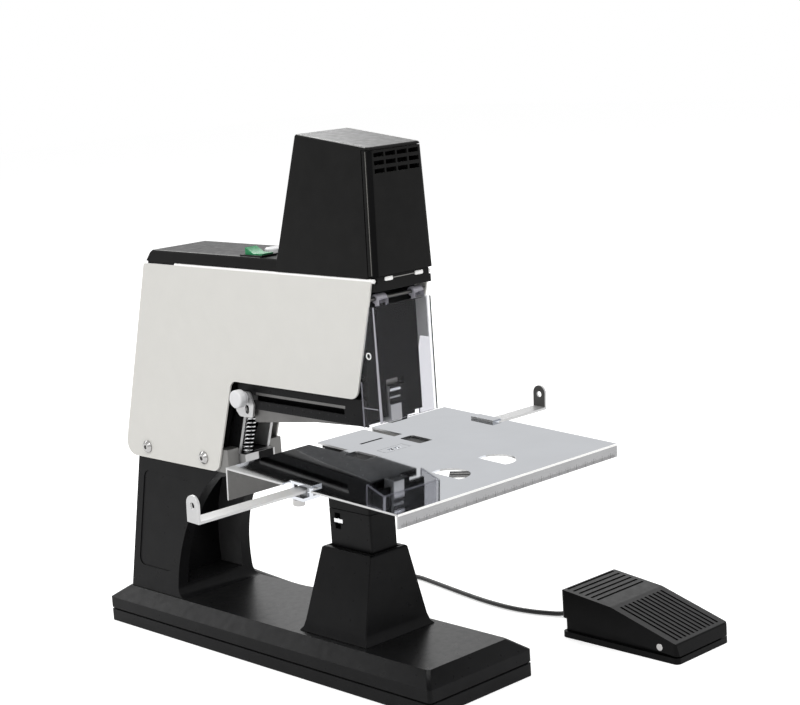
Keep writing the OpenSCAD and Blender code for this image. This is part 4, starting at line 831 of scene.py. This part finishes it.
class STAPLER_OT_arm(bpy.types.Operator):
    """Stapling arm with its nose, magazine, scale and marks"""

    bl_idname = "stapler.arm"
    bl_label = "Arm"

    def execute(self, context):
        sizes = context.scene.stapler_sizes
        # the gauge rail in dark steel is painted shade of its underside
        edge_all({"arm_channel": (0.3, 2), "scale_plate": (0.2, 2), "gauge_rail": (0.2, 2, "dark_and_shaded_steel"),
                  "magazine": (0.2, 2, "dark_and_shaded_steel"), "staple_strip": (0.1, 1),
                  "spring_cup": (0.3, 2), "driver_blade": (0.1, 1), "staple_pusher": (0.4, 2)})
        marks = [grown("row", Count=11, Start=(-26.0 * MM, -96 * MM, 211.4 * MM),
                       Step=(0.0, sizes.mark_pitch, 0.0), Size=(0.1 * MM, 1.1 * MM, 1.3 * MM),
                       Material=FINISHES["engraving"]),
                 grown("row", Count=66, Start=(-26.0 * MM, -114 * MM, 207.2 * MM),
                       Step=(0.0, 2 * MM, 0.0), Size=(0.1 * MM, 0.4 * MM, 1.6 * MM),
                       Material=FINISHES["engraving"])]
        piece("scale_marks", joined(*marks), "arm", "black_paint", "engraving")
        # painted highlight: grey strip for the light caught by the slot's lower inside edge
        rim = slab((-26.25, -96.4, 218.1), (-25.9, 10.0, 220.4), 0.1)
        piece("slot_lit_edge", rim, "arm", "plain_steel", "dark_and_shaded_steel")
        nose = edged("arm_nose", 0.35, 2, "black_paint")
        dress(nose, "zinc_bright", lambda c, n: n.x < -0.9)
        plate = [slab((-8.5, -128.75, 207.8), (2.6, -128.3, 221.2), 0.15),
                 slab((-8.5, -128.05, 226.0), (2.6, -127.4, 227.2), 0.1)]
        piece("nose_plate", joined(*plate), "arm", "plain_steel", "zinc_bright")
        piece("nose_bar", slab((-8.6, -129.0, 231.4), (2.6, -128.3, 233.8), 0.3, 2), "arm", "bright_steel")
        return {"FINISHED"}


class STAPLER_OT_gauge(bpy.types.Operator):
    """Back gauge with its white knob"""

    bl_idname = "stapler.gauge"
    bl_label = "Back gauge"

    def execute(self, context):
        sizes = context.scene.stapler_sizes
        edge_all({"gauge_slide": (0.25, 2, "zinc_bright")})
        place = at(-29, 21.3, 215.6) @ TO_LEFT
        profile = [(0, 0.2), (4.6, 0.2), (5.0, 0.6), (5.0, 2.4), (5.6, 3.0), (6.9, 3.4), (7.3, 4.0),
                   (7.5, 5.0), (7.5, 9.2), (7.3, 10.0), (6.7, 10.6), (5.8, 10.85), (0, 10.95)]
        knob = lathe(profile, place, 64)
        piece("gauge_knob_turned", knob, "knob", "white_plastic", nodes=("gauge_knob",))
        ribs = grown("ring", place @ at(0, 0, 7.0), Count=sizes.knurl_count, Radius=7.42 * MM,
                     Size=(0.16 * MM, 0.5 * MM, 3.6 * MM), Material=FINISHES["white_plastic"])
        piece("knob_knurl", ribs, "knob", "white_plastic")
        return {"FINISHED"}


LUG_FOOT = 301.5 * MM  # height from which the guard is its two lugs


class STAPLER_OT_guard(bpy.types.Operator):
    """Clear front guard on its rod"""

    bl_idname = "stapler.guard"
    bl_label = "Guard"

    def execute(self, context):
        parts = edge_all({"front_guard": (0.3, 2), "guard_rod": (0.3, 2, "dark_and_shaded_steel")})
        # the cut edges, with painted highlight on the lugs
        dress(parts["front_guard"], "guard_cut_edge_and_highlight",
              lambda c, n: (n.y > 0.8 and c.y > -124 * MM) or (n.z < -0.8 and c.z < 214 * MM)
              or c.z > LUG_FOOT)
        # painted shade on the guard's right walls
        dress(parts["front_guard"], "clear_painted_shade",
              lambda c, n: abs(n.x) > 0.8 and c.x > 27 * MM and c.z < LUG_FOOT)
        # painted highlight: lavender strip for the light along the guard's front left corner, and a line
        # across its wall
        corner = prism(oblong(-30.55, -140.15, 0.65, 0.65), 300.6,
                       oblong(-30.55, -140.15, 2.35, 0.65), 212.2)
        line = slab((-30.6, -138.0, 222.3), (-30.3, -122.0, 222.9), 0.1)
        piece("guard_corner", joined(corner, line), "guard", "clear_plastic", "guard_cut_edge_and_highlight")
        # painted shade: dark strip down the guard's right front corner
        dark = slab((29.7, -140.15, 212.2), (30.5, -139.2, 300.6), 0.1)
        piece("guard_right_painted_shade", dark, "guard", "clear_plastic", "guard_shade")
        stay = slab((27.6, -137.5, 269.0), (28.1, -124.2, 300.0), 0.1)
        piece("guard_stay", stay, "guard", "plain_steel", "print")
        # painted highlight: white ring for the light caught by the edge of the hole in the guard's left
        # wall
        ring = ((1.9, -0.1), (2.7, -0.1), (2.7, 0.35), (1.9, 0.35), (1.9, -0.1))
        eye = lathe(ring, at(-30.4, -131.8, 263.2) @ TO_LEFT, 24)
        piece("guard_eye", eye, "guard", "clear_plastic", "white_and_painted_highlight")
        return {"FINISHED"}


class STAPLER_OT_switches(bpy.types.Operator):
    """Rocker switch and force dial on the deck"""

    bl_idname = "stapler.switches"
    bl_label = "Switches"

    def execute(self, context):
        edge_all({"switch_bezel": (0.4, 2), "rocker": (0.5, 3), "dial": (0.35, 2)})
        ring = grown("ring", at(-3.5, 1, 331.53), Count=11, Radius=9.2 * MM,
                     Size=(1.6 * MM, 0.4 * MM, 0.1 * MM), Material=FINISHES["print"])
        piece("dial_marks", ring, "body", "black_plastic", "print")
        return {"FINISHED"}


class STAPLER_OT_pedal(bpy.types.Operator):
    """Foot pedal with its lever, pin and switch"""

    bl_idname = "stapler.pedal"
    bl_label = "Foot pedal"

    def execute(self, context):
        parts = edge_all({"pedal_base": (0.8, 2), "pedal_lever": (0.6, 3), "pedal_switch": (0.4, 2),
                          "pedal_pin": (0.4, 2, "screw_steel")})
        # painted sheen on the pedal lever's top faces
        dress(parts["pedal_lever"], "pedal_painted_sheen", lambda c, n: n.z > 0.8)
        return {"FINISHED"}


SPRING_RISE, SPRING_LEAN = 31.5, -9.0  # height of the return spring, and its top's shift along Y


class STAPLER_OT_springs(bpy.types.Operator):
    """Return spring of the arm and spring of the pedal"""

    bl_idname = "stapler.springs"
    bl_label = "Springs"

    def execute(self, context):
        sizes = context.scene.stapler_sizes
        steel = FINISHES["bright_steel"]
        lean = Matrix.Identity(4)
        lean[1][2] = SPRING_LEAN / SPRING_RISE
        coil = grown("coil", at(-8, 50, 162.75) @ lean, Turns=sizes.spring_turns, Radius=4.2 * MM,
                     Height=SPRING_RISE * MM, Wire=sizes.spring_wire / 2, Steps=28, Material=steel)
        spring = piece("return_spring_wound", coil, "body", "plain_steel", "bright_steel",
                       ("return_spring",))
        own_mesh(spring)
        coil = grown("coil", at(171.5, -182, 5.7), Turns=6.0, Radius=5 * MM, Height=29.0 * MM,
                     Wire=0.6 * MM, Steps=28, Material=steel)
        spring = piece("pedal_spring_wound", coil, "body", "plain_steel", "bright_steel",
                       ("pedal_spring",))
        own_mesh(spring)
        return {"FINISHED"}


class STAPLER_OT_solenoid(bpy.types.Operator):
    """Solenoid in the tower: yoke, winding and plunger"""

    bl_idname = "stapler.solenoid"
    bl_label = "Solenoid"

    def execute(self, context):
        edge_all({"solenoid_yoke": (0.4, 2), "plunger": (0.4, 2), "solenoid_coil": (0.3, 2)})
        return {"FINISHED"}


FLOOR_HALF, FLOOR_Z = 6.0, -0.0002
SOFT_LEVEL = 0.55  # share of white that the floor and the air give off
LAMP_AIM = Vector((0, 0, 0.2))
LAMPS = (("key", (-1.25, -0.85, 2.0), 1.5, 1.5, 31.0, True),
         ("fill", (0.9, -1.7, 1.1), 1.6, 1.6, 8.0, False),
         ("back", (0.55, 2.0, 1.7), 2.6, 0.8, 27.0, True),
         ("top", (0.75, 0.75, 2.3), 1.0, 1.0, 8.0, True))


def backdrop_rays(tree):
    """1 for rays that show the background: camera, glossy and transmission rays."""
    path = tree.nodes.new("ShaderNodeLightPath")
    total = path.outputs["Is Camera Ray"]
    for label in ("Is Glossy Ray", "Is Transmission Ray"):
        node = tree.nodes.new("ShaderNodeMath")
        node.operation = "MAXIMUM"
        tree.links.new(total, node.inputs[0])
        tree.links.new(path.outputs[label], node.inputs[1])
        total = node.outputs[0]
    return total


def floor_paint(rgb):
    """Matt floor that takes shadows, with a glow that only the background's rays see."""
    mat = bpy.data.materials.new("pale_floor")
    mat.use_nodes = True
    tree = mat.node_tree
    tree.nodes.clear()
    out = tree.nodes.new("ShaderNodeOutputMaterial")
    matt = tree.nodes.new("ShaderNodeBsdfDiffuse")
    matt.inputs["Color"].default_value = (*rgb, 1.0)
    glow = tree.nodes.new("ShaderNodeEmission")
    glow.inputs["Color"].default_value = (1, 1, 1, 1)
    both = tree.nodes.new("ShaderNodeAddShader")
    level = tree.nodes.new("ShaderNodeMath")
    level.operation = "MULTIPLY"
    level.inputs[1].default_value = SOFT_LEVEL
    tree.links.new(backdrop_rays(tree), level.inputs[0])
    tree.links.new(level.outputs[0], glow.inputs["Strength"])
    tree.links.new(matt.outputs[0], both.inputs[0])
    tree.links.new(glow.outputs[0], both.inputs[1])
    tree.links.new(both.outputs[0], out.inputs["Surface"])
    return mat


def studio_air():
    """World that is white behind the stapler and softer as its light."""
    world = bpy.data.worlds.new("studio")
    world.use_nodes = True
    tree = world.node_tree
    tree.nodes.clear()
    out = tree.nodes.new("ShaderNodeOutputWorld")
    air = tree.nodes.new("ShaderNodeBackground")
    air.inputs["Color"].default_value = (1, 1, 1, 1)
    level = tree.nodes.new("ShaderNodeMapRange")
    level.inputs["To Min"].default_value = SOFT_LEVEL
    level.inputs["To Max"].default_value = 1.0
    tree.links.new(backdrop_rays(tree), level.inputs["Value"])
    tree.links.new(level.outputs[0], air.inputs["Strength"])
    tree.links.new(air.outputs[0], out.inputs["Surface"])
    return world


def studio_lamp(name, place, wide, tall, power, mirrored):
    """Soft oblong lamp that faces the stapler, seen in polished surfaces or not."""
    data = bpy.data.lights.new(name, "AREA")
    data.shape = "RECTANGLE"
    data.size, data.size_y = wide, tall
    data.energy = power
    lamp = bpy.data.objects.new(name, data)
    turn = (LAMP_AIM - Vector(place)).to_track_quat("-Z", "Y")
    lamp.matrix_world = Matrix.Translation(place) @ turn.to_matrix().to_4x4()
    lamp.visible_glossy = mirrored
    return lamp


class STAPLER_OT_stage(bpy.types.Operator):
    """Pale floor, white background and soft studio light"""

    bl_idname = "stapler.stage"
    bl_label = "Stage"

    def execute(self, context):
        scene = context.scene
        scene.view_settings.view_transform = "Standard"
        mesh = bpy.data.meshes.new("floor")
        mesh.from_pydata([(x * FLOOR_HALF, y * FLOOR_HALF, FLOOR_Z)
                          for x, y in ((-1, -1), (1, -1), (1, 1), (-1, 1))], [], [(0, 1, 2, 3)])
        mesh.materials.append(floor_paint(scene.stapler_finish.floor))
        floor = bpy.data.objects.new("floor", mesh)
        scene.collection.objects.link(floor)
        scene.world = studio_air()
        for values in LAMPS:
            scene.collection.objects.link(studio_lamp(*values))
        return {"FINISHED"}


STEPS = (STAPLER_OT_camera, STAPLER_OT_lead, STAPLER_OT_housing, STAPLER_OT_table, STAPLER_OT_panels,
         STAPLER_OT_cover, STAPLER_OT_arm, STAPLER_OT_gauge, STAPLER_OT_guard, STAPLER_OT_switches,
         STAPLER_OT_pedal, STAPLER_OT_springs, STAPLER_OT_solenoid, STAPLER_OT_stage)


class STAPLER_PT_panel(bpy.types.Panel):
    """Sidebar panel that lists the steps"""

    bl_idname = "STAPLER_PT_panel"
    bl_label = "Stapler"
    bl_space_type = "VIEW_3D"
    bl_region_type = "UI"
    bl_category = "Stapler"

    def draw(self, context):
        for step in STEPS:
            self.layout.operator(step.bl_idname)
        for group in (context.scene.stapler_finish, context.scene.stapler_sizes):
            for key in group.bl_rna.properties.keys():
                if key not in ("rna_type", "name"):
                    self.layout.prop(group, key)


CLASSES = (StaplerFinish, StaplerSizes, *STEPS, STAPLER_PT_panel)


def register():
    for cls in CLASSES:
        bpy.utils.register_class(cls)
    bpy.types.Scene.stapler_finish = PointerProperty(type=StaplerFinish)
    bpy.types.Scene.stapler_sizes = PointerProperty(type=StaplerSizes)


def unregister():
    del bpy.types.Scene.stapler_finish
    del bpy.types.Scene.stapler_sizes
    for cls in reversed(CLASSES):
        bpy.utils.unregister_class(cls)


def main():
    register()
    make_finishes(bpy.context.scene.stapler_finish)
    for step in STEPS:
        group, call = step.bl_idname.split(".")
        getattr(getattr(bpy.ops, group), call)()


if __name__ == "__main__":
    main()
